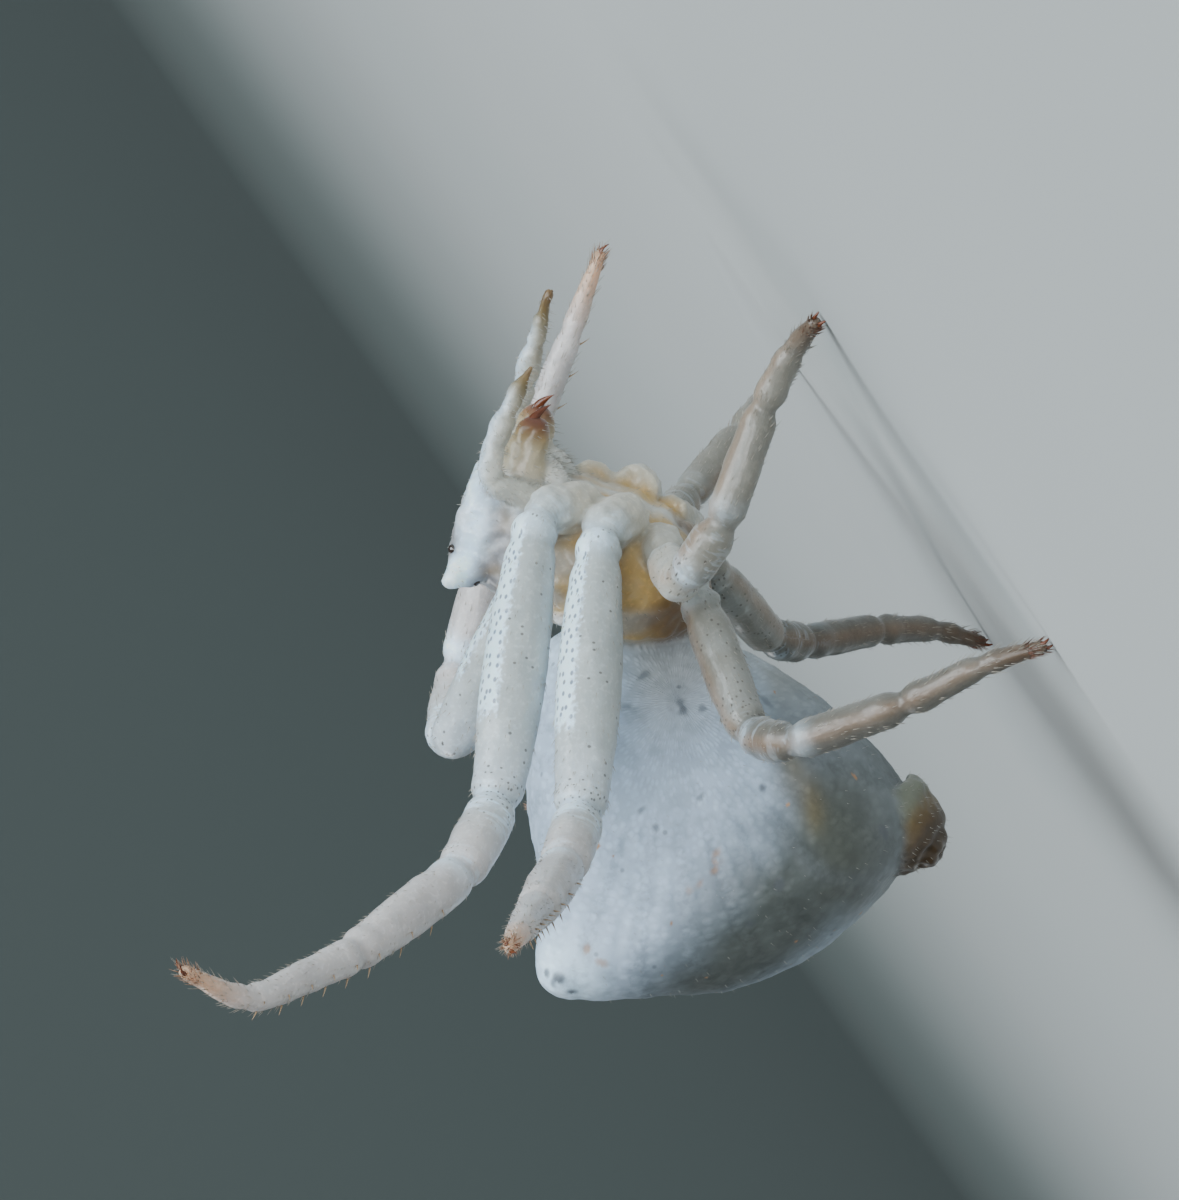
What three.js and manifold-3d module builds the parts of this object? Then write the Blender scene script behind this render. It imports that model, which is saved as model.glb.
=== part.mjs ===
// A white crab spider, life size, in millimetres.
// It faces -Y, its left side is +X, and +Z is up. The floor is z = 0.
// The four hind feet stand on the floor; the front legs are raised and the left one of them reaches down ahead.

import * as THREE from 'three';
import { mergeVertices } from 'three/addons/utils/BufferGeometryUtils.js';
import Module from 'manifold-3d';

const wasm = await Module();
wasm.setup();

// Space left between two pieces that touch, and round an eye in its socket
const GAP = 0.05;
const EYE_GAP = 0.035;
const CONE_STEPS = 3;

// Where the waist is, how far the front body is pitched up and rolled over, and the same for the abdomen
const WAIST = new THREE.Vector3(0, 1.18, 3.67);
const FRONT_PITCH = -37;
const ABDOMEN_FRONT = new THREE.Vector3(0, 0.88, 4.18);
const ABDOMEN_PITCH = 14;
const FRONT_ROLL = 18;
const ABDOMEN_ROLL = 14;

// Cross-sections of the front body, from the waist to the face: how far ahead, middle height, half height, half width
const PROSOMA_SECTIONS = [
  [-0.10, -0.50, 0.22, 0.40],
  [0.10, -0.58, 0.55, 0.90],
  [0.55, -0.62, 0.85, 1.28],
  [1.15, -0.64, 0.98, 1.46],
  [1.85, -0.68, 0.96, 1.36],
  [2.45, -0.70, 0.90, 1.16],
  [2.95, -0.72, 0.82, 1.02],
  [3.30, -0.74, 0.76, 0.96],
  [3.45, -0.76, 0.62, 0.84],
];
const PROSOMA_SQUARENESS = 2.4;
const PROSOMA_SIDES = 28;
const PROSOMA_RINGS = 20;

// Cross-sections of the abdomen, from its front to its rear: how far back, top, underside, half width
const ABDOMEN_SECTIONS = [
  [-0.55, 1.00, 0.45, 0.30],
  [-0.42, 1.28, 0.20, 0.75],
  [0.00, 1.62, -0.45, 1.25],
  [0.68, 1.98, -1.25, 1.68],
  [1.36, 2.22, -1.80, 2.02],
  [2.04, 2.38, -2.20, 2.28],
  [2.72, 2.46, -2.48, 2.46],
  [3.40, 2.40, -2.60, 2.52],
  [3.95, 2.10, -2.40, 2.40],
  [4.40, 1.60, -1.75, 2.02],
  [4.72, 0.95, -0.95, 1.40],
  [4.86, 0.50, -0.35, 0.70],
];
const ABDOMEN_SQUARENESS = 2.3;
const ABDOMEN_TOP_WIDENING = 0.16;
const ABDOMEN_SIDES = 36;
const ABDOMEN_RINGS = 26;
// The two pointed humps: place across, back and up, which way they lean, their height and their width
const HUMP_PLACE = new THREE.Vector3(2.25, 3.75, 1.70);
const HUMP_LEAN = new THREE.Vector3(0.60, 0.16, 0.78);
const HUMP_HEIGHT = 1.05;
const HUMP_WIDTH = 0.95;

const PEDICEL_RADIUS = 0.30;

// Spinnerets: a low cone with six small ones at its end
const SPINNERET_BASE = new THREE.Vector3(0, 3.62, -2.32);
const SPINNERET_LEAN = new THREE.Vector3(0, 0.78, -0.62);
const SPINNERET_LENGTH = 0.50;
const SPINNERET_RADII = [0.80, 0.68, 0.38];
const SPINNERET_TIPS = 6;
const SPINNERET_TIP_LENGTH = 0.34;
const SPINNERET_TIP_RADIUS = 0.15;
const SPINNERET_TIP_SIDES = 7;

// Eye tubercles at the corners of the face
const TUBERCLE_ROOT = new THREE.Vector3(0.66, -3.02, -0.40);
const TUBERCLE_TIP = new THREE.Vector3(1.22, -3.36, -0.02);
const TUBERCLE_RADII = [0.34, 0.23, 0.09];

// Eyes: name, place across, place ahead or height that the eye is seen from, radius
const FRONT_EYES = [
  ['front_inner', 0.22, -0.58, 0.055],
  ['front_outer', 0.80, -0.42, 0.075],
];
const REAR_EYES = [
  ['rear_inner', 0.36, 3.02, 0.05],
  ['rear_outer', 0.98, 2.98, 0.065],
];
const EYE_SINK = 0.3;

// Jaws, fangs and feelers, in the frame of the front body
const CHELICERA_TOP = new THREE.Vector3(0.42, -2.78, -1.20);
const CHELICERA_TIP = new THREE.Vector3(0.32, -2.88, -2.42);
const CHELICERA_RADII = [0.33, 0.34, 0.20];
const FANG_LENGTH = 0.34;
const FANG_RADII = [0.085, 0.065, 0.015];
const PALP_RADII = [0.20, 0.22, 0.21, 0.07];
const PALP_SIDES = 12;
const PALP_STEP = 0.3;
const PALP_PATHS = {
  right: [[-0.62, -2.30, -1.42], [-1.02, -3.22, -1.50], [-0.92, -3.30, -2.20], [-0.72, -3.12, -3.18]],
  left: [[0.62, -2.30, -1.42], [1.00, -3.12, -1.55], [0.84, -3.16, -2.40], [0.61, -3.21, -3.89]],
};

// Legs: the lengths of hip, thigh, knee, shin and the two lengths of the foot, from the first pair to the fourth
const LEG_LENGTHS = [
  [1.12, 4.20, 1.55, 2.65, 2.35, 1.25],
  [1.05, 4.20, 1.50, 2.40, 2.10, 1.15],
  [0.80, 1.95, 1.00, 1.65, 0.95, 0.75],
  [0.80, 2.40, 1.00, 1.65, 1.20, 0.90],
];
// Radius at the start, middle and end of hip, thigh, knee, shin and foot
const STOUT_LEG_RADII = [
  [0.34, 0.36, 0.29],
  [0.28, 0.45, 0.34],
  [0.32, 0.36, 0.30],
  [0.31, 0.33, 0.26],
  [0.25, 0.21, 0.10],
];
const SLIM_LEG_RADII = [
  [0.29, 0.30, 0.25],
  [0.25, 0.33, 0.27],
  [0.26, 0.30, 0.25],
  [0.25, 0.27, 0.22],
  [0.23, 0.19, 0.10],
];
const LEG_SIDES = 12;
const LEG_STEP = 0.42;
const BEND_LENGTH = 0.5;
// Where each pair grows from: across, ahead and height in the frame of the front body
const LEG_ROOTS = [
  [0.62, -1.85, -1.52],
  [0.66, -1.30, -1.56],
  [0.66, -0.78, -1.38],
  [0.58, -0.52, -1.14],
];
// Each length's heading from straight ahead out to the side, and its rise above level
const LEG_POSES = {
  right_leg_1: [[70, 34], [153, 40], [110, 36], [90, 38], [81, 35], [45, 18]],
  right_leg_2: [[88, 26], [148, 35], [105, 22], [94, 13], [91, 8], [93, 11]],
  right_leg_3: [[112, 8], [100, 2], [45, -63], [11, -54], [47, -53], [81, -34]],
  right_leg_4: [[130, 2], [147, 13], [114, -21], [134, -68], [107, -67], [136, -65]],
  left_leg_1: [[100, 25], [132, 53], [48, -33], [-5, -51], [-3, -57], [-6, -55]],
  left_leg_2: [[92, -4], [142, 38], [104, 15], [98, 9], [86, 6], [74, 10]],
  left_leg_3: [[118, -10], [82, 2], [82, -29], [72, -50], [70, -52], [73, -48]],
  left_leg_4: [[132, -6], [125, -5], [112, -24], [111, -38], [123, -38], [143, -34]],
};
const STANDING = ['right_leg_3', 'right_leg_4', 'left_leg_3', 'left_leg_4'];
// Height of the end of a standing foot's own line, so that its underside is cut to a small flat
const FOOT_HEIGHT = 0.07;

const CLAW_LENGTH = 0.24;
const CLAW_RADIUS = 0.045;
const CLAW_SPREAD = 0.06;

// Colours: [colour, roughness]
const FINISHES = {
  skin: [0xe8e6df, 0.45],
  shell: [0xe2d6c0, 0.40],
  belly: [0xe6ecf2, 0.60],
  tip: [0x8a6a48, 0.50],
  claw: [0x4a2418, 0.35],
  eye: [0x17120f, 0.15],
};

const radians = THREE.MathUtils.degToRad;
const leg_part_names = ['coxa', 'femur', 'patella', 'tibia', 'foot'];

// Frames

function bodyFrame(origin, pitch, roll) {
  const turn = new THREE.Euler(radians(pitch), radians(roll), 0);
  return new THREE.Matrix4().makeRotationFromEuler(turn).setPosition(origin);
}

const frontFrame = bodyFrame(WAIST, FRONT_PITCH, FRONT_ROLL);
const abdomenFrame = bodyFrame(ABDOMEN_FRONT, ABDOMEN_PITCH, ABDOMEN_ROLL);

function mirrored(point, side) {
  return new THREE.Vector3(point.x * side, point.y, point.z);
}

// Solids

function toSolid(geometry) {
  const bare = geometry.clone();
  bare.deleteAttribute('normal');
  bare.deleteAttribute('uv');
  const merged = mergeVertices(bare, 1e-5);
  const mesh = new wasm.Mesh({
    numProp: 3,
    vertProperties: new Float32Array(merged.attributes.position.array),
    triVerts: new Uint32Array(merged.index.array),
  });
  return new wasm.Manifold(mesh);
}

function toGeometry(solid) {
  const mesh = largest(solid).getMesh();
  const geometry = new THREE.BufferGeometry();
  geometry.setAttribute('position', new THREE.BufferAttribute(new Float32Array(mesh.vertProperties), 3));
  geometry.setIndex(new THREE.BufferAttribute(new Uint32Array(mesh.triVerts), 1));
  return geometry;
}

function largest(solid) {
  const pieces = solid.decompose();
  return pieces.reduce((best, piece) => (piece.volume() > best.volume() ? piece : best), pieces[0]);
}

function cutAway(solid, others) {
  return others.reduce((left, other) => left.subtract(other), solid);
}

// A closed surface through rings of points, with a fan at each end
function loft(rings) {
  const sides = rings[0].length;
  const points = rings.flat();
  const ends = [rings[0], rings[rings.length - 1]].map((ring) => {
    const middle = new THREE.Vector3();
    ring.forEach((point) => middle.add(point));
    return middle.divideScalar(sides);
  });
  const first = points.length;
  const last = first + 1;
  points.push(...ends);
  const faces = [];
  for (let i = 0; i < rings.length - 1; i += 1) {
    for (let j = 0; j < sides; j += 1) {
      const a = i * sides + j;
      const b = i * sides + ((j + 1) % sides);
      faces.push(a, b, b + sides, a, b + sides, a + sides);
    }
  }
  const top = (rings.length - 1) * sides;
  for (let j = 0; j < sides; j += 1) {
    const next = (j + 1) % sides;
    faces.push(first, next, j);
    faces.push(last, top + j, top + next);
  }
  const geometry = new THREE.BufferGeometry().setFromPoints(points);
  geometry.setIndex(faces);
  return geometry;
}

// A smooth value between the entries of a list of rows, for one column
function columnCurve(rows, column) {
  const knots = rows.map((row, i) => new THREE.Vector3(i, row[column], 0));
  return new THREE.CatmullRomCurve3(knots, false, 'catmullrom', 0.5);
}

function rounded(angle, squareness) {
  const power = 2 / squareness;
  const c = Math.cos(angle);
  const s = Math.sin(angle);
  return [Math.sign(c) * Math.abs(c) ** power, Math.sign(s) * Math.abs(s) ** power];
}

// Tubes

function threeStep(radii, t) {
  const [start, middle, end] = radii;
  const along = start + (end - start) * t;
  return along + (middle - (start + end) / 2) * Math.sin(Math.PI * t);
}

// Rings round a path from one length along it to another, drawn in by an inset at each end
function tubeRings(path, from, to, radiusAt, sides, step, inset = 0) {
  const total = path.getLength();
  const count = Math.max(3, Math.round((to - from) / step) + 1);
  const rings = [];
  let across = null;
  for (let i = 0; i < count; i += 1) {
    const t = i / (count - 1);
    const at = (from + (to - from) * t) / total;
    const centre = path.getPointAt(at);
    const ahead = path.getTangentAt(at);
    centre.addScaledVector(ahead, inset * (1 - 2 * t));
    if (across === null) {
      const helper = Math.abs(ahead.z) < 0.9 ? new THREE.Vector3(0, 0, 1) : new THREE.Vector3(1, 0, 0);
      across = new THREE.Vector3().crossVectors(helper, ahead);
    }
    across.addScaledVector(ahead, -across.dot(ahead)).normalize();
    const up = new THREE.Vector3().crossVectors(ahead, across);
    const radius = radiusAt(t);
    const ring = [];
    for (let j = 0; j < sides; j += 1) {
      const angle = (2 * Math.PI * j) / sides;
      const point = centre.clone();
      point.addScaledVector(across, radius * Math.cos(angle));
      point.addScaledVector(up, radius * Math.sin(angle));
      ring.push(point);
    }
    rings.push(ring);
  }
  return rings;
}

// A path of straight lengths with rounded bends, and how far along it the middle of each bend is
function bentPath(points) {
  const path = new THREE.CurvePath();
  const stops = [0];
  let from = points[0];
  for (let i = 1; i < points.length - 1; i += 1) {
    const corner = points[i];
    const back = points[i - 1].clone().sub(corner);
    const on = points[i + 1].clone().sub(corner);
    const reach = Math.min(BEND_LENGTH, back.length() * 0.4, on.length() * 0.4);
    const start = corner.clone().addScaledVector(back.normalize(), reach);
    const end = corner.clone().addScaledVector(on.normalize(), reach);
    const bend = new THREE.QuadraticBezierCurve3(start, corner, end);
    path.add(new THREE.LineCurve3(from, start));
    const before = path.getLength();
    path.add(bend);
    path.updateArcLengths();
    stops.push(before + bend.getLength() / 2);
    from = end;
  }
  path.add(new THREE.LineCurve3(from, points[points.length - 1]));
  path.updateArcLengths();
  stops.push(path.getLength());
  return { path, stops };
}

function cone(from, to, radii, sides, grow = 0) {
  const path = new THREE.LineCurve3(from, to);
  const length = path.getLength();
  const step = length / CONE_STEPS;
  return loft(tubeRings(path, 0, length, (t) => threeStep(radii, t) + grow, sides, step, -grow));
}

// The front body

function prosomaGeometry(grow) {
  const [ahead, middle, halfHeight, halfWidth] = [0, 1, 2, 3].map((c) => columnCurve(PROSOMA_SECTIONS, c));
  const last = PROSOMA_SECTIONS.length - 1;
  const rings = [];
  for (let i = 0; i < PROSOMA_RINGS; i += 1) {
    const t = i / (PROSOMA_RINGS - 1);
    const swell = grow * Math.sign(t * last - last / 2);
    const y = -ahead.getPoint(t).y - (i === 0 || i === PROSOMA_RINGS - 1 ? swell : 0);
    const ring = [];
    for (let j = 0; j < PROSOMA_SIDES; j += 1) {
      const [c, s] = rounded((2 * Math.PI * j) / PROSOMA_SIDES, PROSOMA_SQUARENESS);
      const x = c * (halfWidth.getPoint(t).y + grow);
      const z = middle.getPoint(t).y + s * (halfHeight.getPoint(t).y + grow);
      ring.push(new THREE.Vector3(x, y, z));
    }
    rings.push(ring);
  }
  return loft(rings);
}

function prosomaSolid(grow = 0) {
  let solid = toSolid(prosomaGeometry(grow));
  for (const side of [-1, 1]) {
    const root = mirrored(TUBERCLE_ROOT, side);
    const tip = mirrored(TUBERCLE_TIP, side);
    solid = solid.add(toSolid(cone(root, tip, TUBERCLE_RADII, 12, grow)));
  }
  return solid;
}

// The abdomen

function abdomenGeometry(grow) {
  const [back, top, under, halfWidth] = [0, 1, 2, 3].map((c) => columnCurve(ABDOMEN_SECTIONS, c));
  const rings = [];
  for (let i = 0; i < ABDOMEN_RINGS; i += 1) {
    const t = i / (ABDOMEN_RINGS - 1);
    const y = back.getPoint(t).y + (i === 0 ? -grow : 0) + (i === ABDOMEN_RINGS - 1 ? grow : 0);
    const middle = (top.getPoint(t).y + under.getPoint(t).y) / 2;
    const halfHeight = (top.getPoint(t).y - under.getPoint(t).y) / 2 + grow;
    const ring = [];
    for (let j = 0; j < ABDOMEN_SIDES; j += 1) {
      const [c, s] = rounded(-(2 * Math.PI * j) / ABDOMEN_SIDES, ABDOMEN_SQUARENESS);
      const widening = 1 + ABDOMEN_TOP_WIDENING * s;
      const point = new THREE.Vector3(c * (halfWidth.getPoint(t).y + grow) * widening, y, middle + s * halfHeight);
      ring.push(withHumps(point));
    }
    rings.push(ring);
  }
  return loft(rings);
}

function withHumps(point) {
  const moved = point.clone();
  for (const side of [-1, 1]) {
    const place = mirrored(HUMP_PLACE, side);
    const lean = mirrored(HUMP_LEAN, side).normalize();
    const away = point.distanceTo(place) / HUMP_WIDTH;
    moved.addScaledVector(lean, HUMP_HEIGHT * Math.exp(-away * away));
  }
  return moved;
}

// Small pieces

function spinnerets() {
  const lean = SPINNERET_LEAN.clone().normalize();
  const end = SPINNERET_BASE.clone().addScaledVector(lean, SPINNERET_LENGTH);
  let solid = toSolid(cone(SPINNERET_BASE, end, SPINNERET_RADII, 16));
  const across = new THREE.Vector3(1, 0, 0);
  const up = new THREE.Vector3().crossVectors(lean, across);
  for (let i = 0; i < SPINNERET_TIPS; i += 1) {
    const angle = (2 * Math.PI * (i + 0.5)) / SPINNERET_TIPS;
    const out = across.clone().multiplyScalar(Math.cos(angle)).addScaledVector(up, Math.sin(angle));
    const root = end.clone().addScaledVector(out, 0.24).addScaledVector(lean, -0.12);
    const tip = root.clone().addScaledVector(lean, SPINNERET_TIP_LENGTH).addScaledVector(out, -0.06);
    const radii = [SPINNERET_TIP_RADIUS, SPINNERET_TIP_RADIUS, SPINNERET_TIP_RADIUS / 3];
    solid = solid.add(toSolid(cone(root, tip, radii, SPINNERET_TIP_SIDES)));
  }
  return solid;
}

function palp(points) {
  const corners = points.map(([x, y, z]) => new THREE.Vector3(x, y, z));
  const { path, stops } = bentPath(corners);
  const total = stops[stops.length - 1];
  const radiusAt = (t) => {
    const at = t * (PALP_RADII.length - 1);
    const i = Math.min(Math.floor(at), PALP_RADII.length - 2);
    return THREE.MathUtils.lerp(PALP_RADII[i], PALP_RADII[i + 1], at - i);
  };
  return toSolid(loft(tubeRings(path, 0, total, radiusAt, PALP_SIDES, PALP_STEP)));
}

function eyePlace(probe, from, direction, radius) {
  const hit = new THREE.Raycaster(from, direction).intersectObject(probe)[0];
  return hit.point.clone().addScaledVector(direction, radius * EYE_SINK);
}

function eyes(probe) {
  const found = [];
  const backward = new THREE.Vector3(0, 1, 0);
  const downward = new THREE.Vector3(0, 0, -1);
  for (const [sideName, side] of [['right', -1], ['left', 1]]) {
    for (const [name, across, height, radius] of FRONT_EYES) {
      const from = new THREE.Vector3(across * side, -6, height);
      found.push([`eye_${name}_${sideName}`, eyePlace(probe, from, backward, radius), radius]);
    }
    for (const [name, across, ahead, radius] of REAR_EYES) {
      const from = new THREE.Vector3(across * side, -ahead, 3);
      found.push([`eye_${name}_${sideName}`, eyePlace(probe, from, downward, radius), radius]);
    }
  }
  return found;
}

function ball(centre, radius) {
  const geometry = new THREE.SphereGeometry(radius, 10, 6);
  geometry.translate(centre.x, centre.y, centre.z);
  return toSolid(geometry);
}

// Legs

function heading(side, yaw, rise) {
  const [a, b] = [radians(yaw), radians(rise)];
  return new THREE.Vector3(side * Math.sin(a) * Math.cos(b), -Math.cos(a) * Math.cos(b), Math.sin(b));
}

function legPoints(name) {
  const side = name.startsWith('left') ? 1 : -1;
  const pair = Number(name.slice(-1)) - 1;
  const [across, ahead, height] = LEG_ROOTS[pair];
  const points = [new THREE.Vector3(across * side, ahead, height).applyMatrix4(frontFrame)];
  LEG_POSES[name].forEach(([yaw, rise], i) => {
    const step = heading(side, yaw, rise).multiplyScalar(LEG_LENGTHS[pair][i]);
    points.push(points[i].clone().add(step));
  });
  return STANDING.includes(name) ? planted(points) : points;
}

// Lowers or lifts the lengths past the hip, so that the foot ends on the floor
function planted(points) {
  const last = points.length - 1;
  const drop = points[last].z - FOOT_HEIGHT;
  return points.map((point, i) => {
    const share = Math.max(0, i - 1) / (last - 1);
    return new THREE.Vector3(point.x, point.y, point.z - drop * share);
  });
}

function claws(tip, ahead) {
  const across = new THREE.Vector3(0, 0, 1).cross(ahead).normalize();
  const down = new THREE.Vector3().crossVectors(ahead, across).negate();
  return [-1, 1].map((side) => {
    const root = tip.clone().addScaledVector(ahead, -0.08).addScaledVector(across, side * CLAW_SPREAD);
    const end = root.clone().addScaledVector(ahead, CLAW_LENGTH).addScaledVector(down, CLAW_LENGTH * 0.35);
    return toSolid(cone(root, end, [CLAW_RADIUS, CLAW_RADIUS * 0.8, CLAW_RADIUS * 0.3], 6));
  });
}

function legSolids(name, grow = 0) {
  const pair = Number(name.slice(-1));
  const radii = pair < 3 ? STOUT_LEG_RADII : SLIM_LEG_RADII;
  const points = legPoints(name);
  const { path, stops } = bentPath(points);
  return leg_part_names.map((part, i) => {
    const isFoot = part === 'foot';
    const to = isFoot ? stops[stops.length - 1] : stops[i + 1];
    const radiusAt = (t) => threeStep(radii[i], t) + grow;
    const rings = tubeRings(path, stops[i], to, radiusAt, LEG_SIDES, LEG_STEP, GAP / 2 - grow);
    let solid = toSolid(loft(rings));
    if (isFoot && grow === 0) {
      const tip = points[points.length - 1];
      solid = claws(tip, path.getTangentAt(1)).reduce((sum, claw) => sum.add(claw), solid);
    }
    return solid;
  });
}

function belowFloor() {
  const geometry = new THREE.BoxGeometry(60, 60, 10);
  geometry.translate(0, 0, -5);
  return toSolid(geometry);
}

// The whole spider

const spider = new THREE.Group();

function addNode(name, solid, finish) {
  const geometry = toGeometry(solid);
  geometry.computeBoundingBox();
  const centre = geometry.boundingBox.getCenter(new THREE.Vector3());
  geometry.translate(-centre.x, -centre.y, -centre.z);
  const [color, roughness] = FINISHES[finish];
  const mesh = new THREE.Mesh(geometry, new THREE.MeshStandardMaterial({ color, roughness, metalness: 0 }));
  mesh.name = name;
  mesh.position.copy(centre);
  spider.add(mesh);
}

function placed(solid, frame) {
  return solid.transform(Array.from(frame.elements));
}

function addFrontBody() {
  const bare = prosomaSolid();
  const probe = new THREE.Mesh(toGeometry(bare), new THREE.MeshBasicMaterial({ side: THREE.DoubleSide }));
  const seen = eyes(probe);
  const sockets = seen.map(([, centre, radius]) => ball(centre, radius + EYE_GAP));
  addNode('prosoma', placed(cutAway(bare, sockets), frontFrame), 'shell');
  for (const [name, centre, radius] of seen) {
    addNode(name, placed(ball(centre, radius), frontFrame), 'eye');
  }
}

function addMouthparts(grownProsoma) {
  const toFront = frontFrame.clone().invert();
  for (const [sideName, side] of [['right', -1], ['left', 1]]) {
    const top = mirrored(CHELICERA_TOP, side);
    const tip = mirrored(CHELICERA_TIP, side);
    const jaw = cutAway(toSolid(cone(top, tip, CHELICERA_RADII, 16)), [grownProsoma]);
    const grownJaw = toSolid(cone(top, tip, CHELICERA_RADII, 16, GAP));
    addNode(`chelicera_${sideName}`, placed(jaw, frontFrame), 'skin');
    const fangEnd = tip.clone().add(new THREE.Vector3(-0.25 * side, 0.28, -0.93).multiplyScalar(FANG_LENGTH));
    const fangRoot = tip.clone().add(new THREE.Vector3(0, 0, 0.10));
    const fang = toSolid(cone(fangRoot, fangEnd, FANG_RADII, 10)).subtract(grownJaw);
    addNode(`fang_${sideName}`, placed(fang, frontFrame), 'claw');
    const grownHip = placed(legSolids(`${sideName}_leg_1`, GAP)[0], toFront);
    const feeler = cutAway(palp(PALP_PATHS[sideName]), [grownProsoma, grownJaw, grownHip]);
    addNode(`palp_${sideName}`, placed(feeler, frontFrame), 'skin');
  }
}

function addAbdomen(grownProsoma) {
  const abdomen = placed(toSolid(abdomenGeometry(0)), abdomenFrame);
  const grown = placed(toSolid(abdomenGeometry(GAP)), abdomenFrame);
  const blockers = [placed(grownProsoma, frontFrame)];
  addNode('abdomen', cutAway(abdomen, blockers), 'belly');
  addNode('spinnerets', placed(spinnerets(), abdomenFrame).subtract(grown), 'tip');
  const inFront = new THREE.Vector3(0, -0.45, -0.55).applyMatrix4(frontFrame);
  const inAbdomen = new THREE.Vector3(0, 0.55, -0.35).applyMatrix4(abdomenFrame);
  const radii = [PEDICEL_RADIUS, PEDICEL_RADIUS, PEDICEL_RADIUS];
  const pedicel = toSolid(cone(inFront, inAbdomen, radii, 16));
  addNode('pedicel', cutAway(pedicel, [...blockers, grown]), 'shell');
}

function addLegs(grownProsoma) {
  const body = placed(grownProsoma, frontFrame);
  const floor = belowFloor();
  const earlierHips = [];
  for (const name of Object.keys(LEG_POSES)) {
    const solids = legSolids(name);
    const grownHip = legSolids(name, GAP)[0];
    solids.forEach((solid, i) => {
      const cutters = { coxa: [body, ...earlierHips], femur: [body], foot: [floor] }[leg_part_names[i]] ?? [];
      addNode(`${name}_${leg_part_names[i]}`, cutAway(solid, cutters), 'skin');
    });
    earlierHips.push(grownHip);
  }
}

const grownProsoma = prosomaSolid(GAP);
addFrontBody();
addMouthparts(grownProsoma);
addAbdomen(grownProsoma);
addLegs(grownProsoma);

// The origin is on the floor, under the middle of the whole spider
const whole = new THREE.Box3().setFromObject(spider);
const middle = whole.getCenter(new THREE.Vector3());
spider.position.set(-middle.x, -middle.y, 0);

export default spider;
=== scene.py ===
"""The looks of a white crab spider, life size, standing on its four hind feet.

It faces -Y, its left side is +X, and +Z is up. Sizes and places are in millimetres until a mesh is made.
"""

import math

import bpy
import numpy as np
from mathutils import Matrix, Vector
from mathutils.kdtree import KDTree


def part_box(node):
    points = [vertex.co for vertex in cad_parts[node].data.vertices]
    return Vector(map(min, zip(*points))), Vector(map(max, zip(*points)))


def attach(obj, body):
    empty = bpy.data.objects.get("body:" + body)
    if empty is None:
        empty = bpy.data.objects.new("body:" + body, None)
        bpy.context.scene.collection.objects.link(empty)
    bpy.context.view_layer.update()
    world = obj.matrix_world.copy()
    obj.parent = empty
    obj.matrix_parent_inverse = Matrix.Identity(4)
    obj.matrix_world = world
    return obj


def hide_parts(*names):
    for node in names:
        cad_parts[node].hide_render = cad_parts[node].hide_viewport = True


MM = 0.001

# The camera: what it looks at before the spider is centred, how far off it is, how far it looks down
PICTURE_HEIGHT = 1200
PIXELS_PER_MM = 73.5
CAMERA_DISTANCE = 100.0
CAMERA_FALL = 1.0
CAMERA_AIM = np.array([0.0, 0.0, 4.478])
SENSOR_HEIGHT = 36.0
# The picture is turned, so that the spider hangs: the share of +Y and of up in the way to the right
RIGHT_ALONG_Y = 0.58
RIGHT_ALONG_UP = -0.815

# The places of the front body and the abdomen, and how far each is pitched and rolled
WAIST = np.array([0.0, 1.18, 3.67])
FRONT_PITCH = -37
FRONT_ROLL = 18
ABDOMEN_FRONT = np.array([0.0, 0.88, 4.18])
ABDOMEN_PITCH = 14
ABDOMEN_ROLL = 14

# Front body, from the waist to the face: how far ahead, middle height, half height, half width
PROSOMA_SECTIONS = [
    [-0.10, -0.50, 0.22, 0.40],
    [0.10, -0.58, 0.55, 0.90],
    [0.55, -0.62, 0.85, 1.28],
    [1.15, -0.64, 0.98, 1.46],
    [1.85, -0.68, 0.96, 1.36],
    [2.45, -0.70, 0.90, 1.16],
    [2.95, -0.72, 0.82, 1.02],
    [3.30, -0.74, 0.76, 0.96],
    [3.45, -0.76, 0.62, 0.84],
]
PROSOMA_SQUARENESS = 2.4

# Abdomen, from its front to its rear: how far back, top, underside, half width
ABDOMEN_SECTIONS = [
    [-0.55, 1.00, 0.45, 0.30],
    [-0.42, 1.28, 0.20, 0.75],
    [0.00, 1.62, -0.45, 1.25],
    [0.68, 1.98, -1.25, 1.68],
    [1.36, 2.22, -1.80, 2.02],
    [2.04, 2.38, -2.20, 2.28],
    [2.72, 2.46, -2.48, 2.46],
    [3.40, 2.40, -2.60, 2.52],
    [3.95, 2.10, -2.40, 2.40],
    [4.40, 1.60, -1.75, 2.02],
    [4.72, 0.95, -0.95, 1.40],
    [4.86, 0.50, -0.35, 0.70],
]
ABDOMEN_SQUARENESS = 2.3
ABDOMEN_TOP_WIDENING = 0.16
ABDOMEN_SOLID_SIDES = 36
ABDOMEN_SOLID_RINGS = 26
HUMP_PLACE = np.array([2.25, 3.75, 1.70])
HUMP_LEAN = np.array([0.60, 0.16, 0.78])
HUMP_HEIGHT = 1.05
HUMP_WIDTH = 0.95

SPINNERET_BASE = np.array([0.0, 3.62, -2.32])
SPINNERET_LEAN = np.array([0.0, 0.78, -0.62])
SPINNERET_LENGTH = 0.50
SPINNERET_RADII = [0.72, 0.66, 0.40]
SPINNERET_SUNK = 0.25
SPINNERET_TIPS = 6
SPINNERET_TIP_LENGTH = 0.34
SPINNERET_TIP_RADIUS = 0.15
SPINNERET_TIP_SPREAD = 0.22
SPINNERET_TIP_SUNK = 0.16
PEDICEL_FRONT = [0, -0.45, -0.55]
PEDICEL_REAR = [0, 0.55, -0.35]
PEDICEL_RADII = [0.29, 0.29, 0.29]

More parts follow.
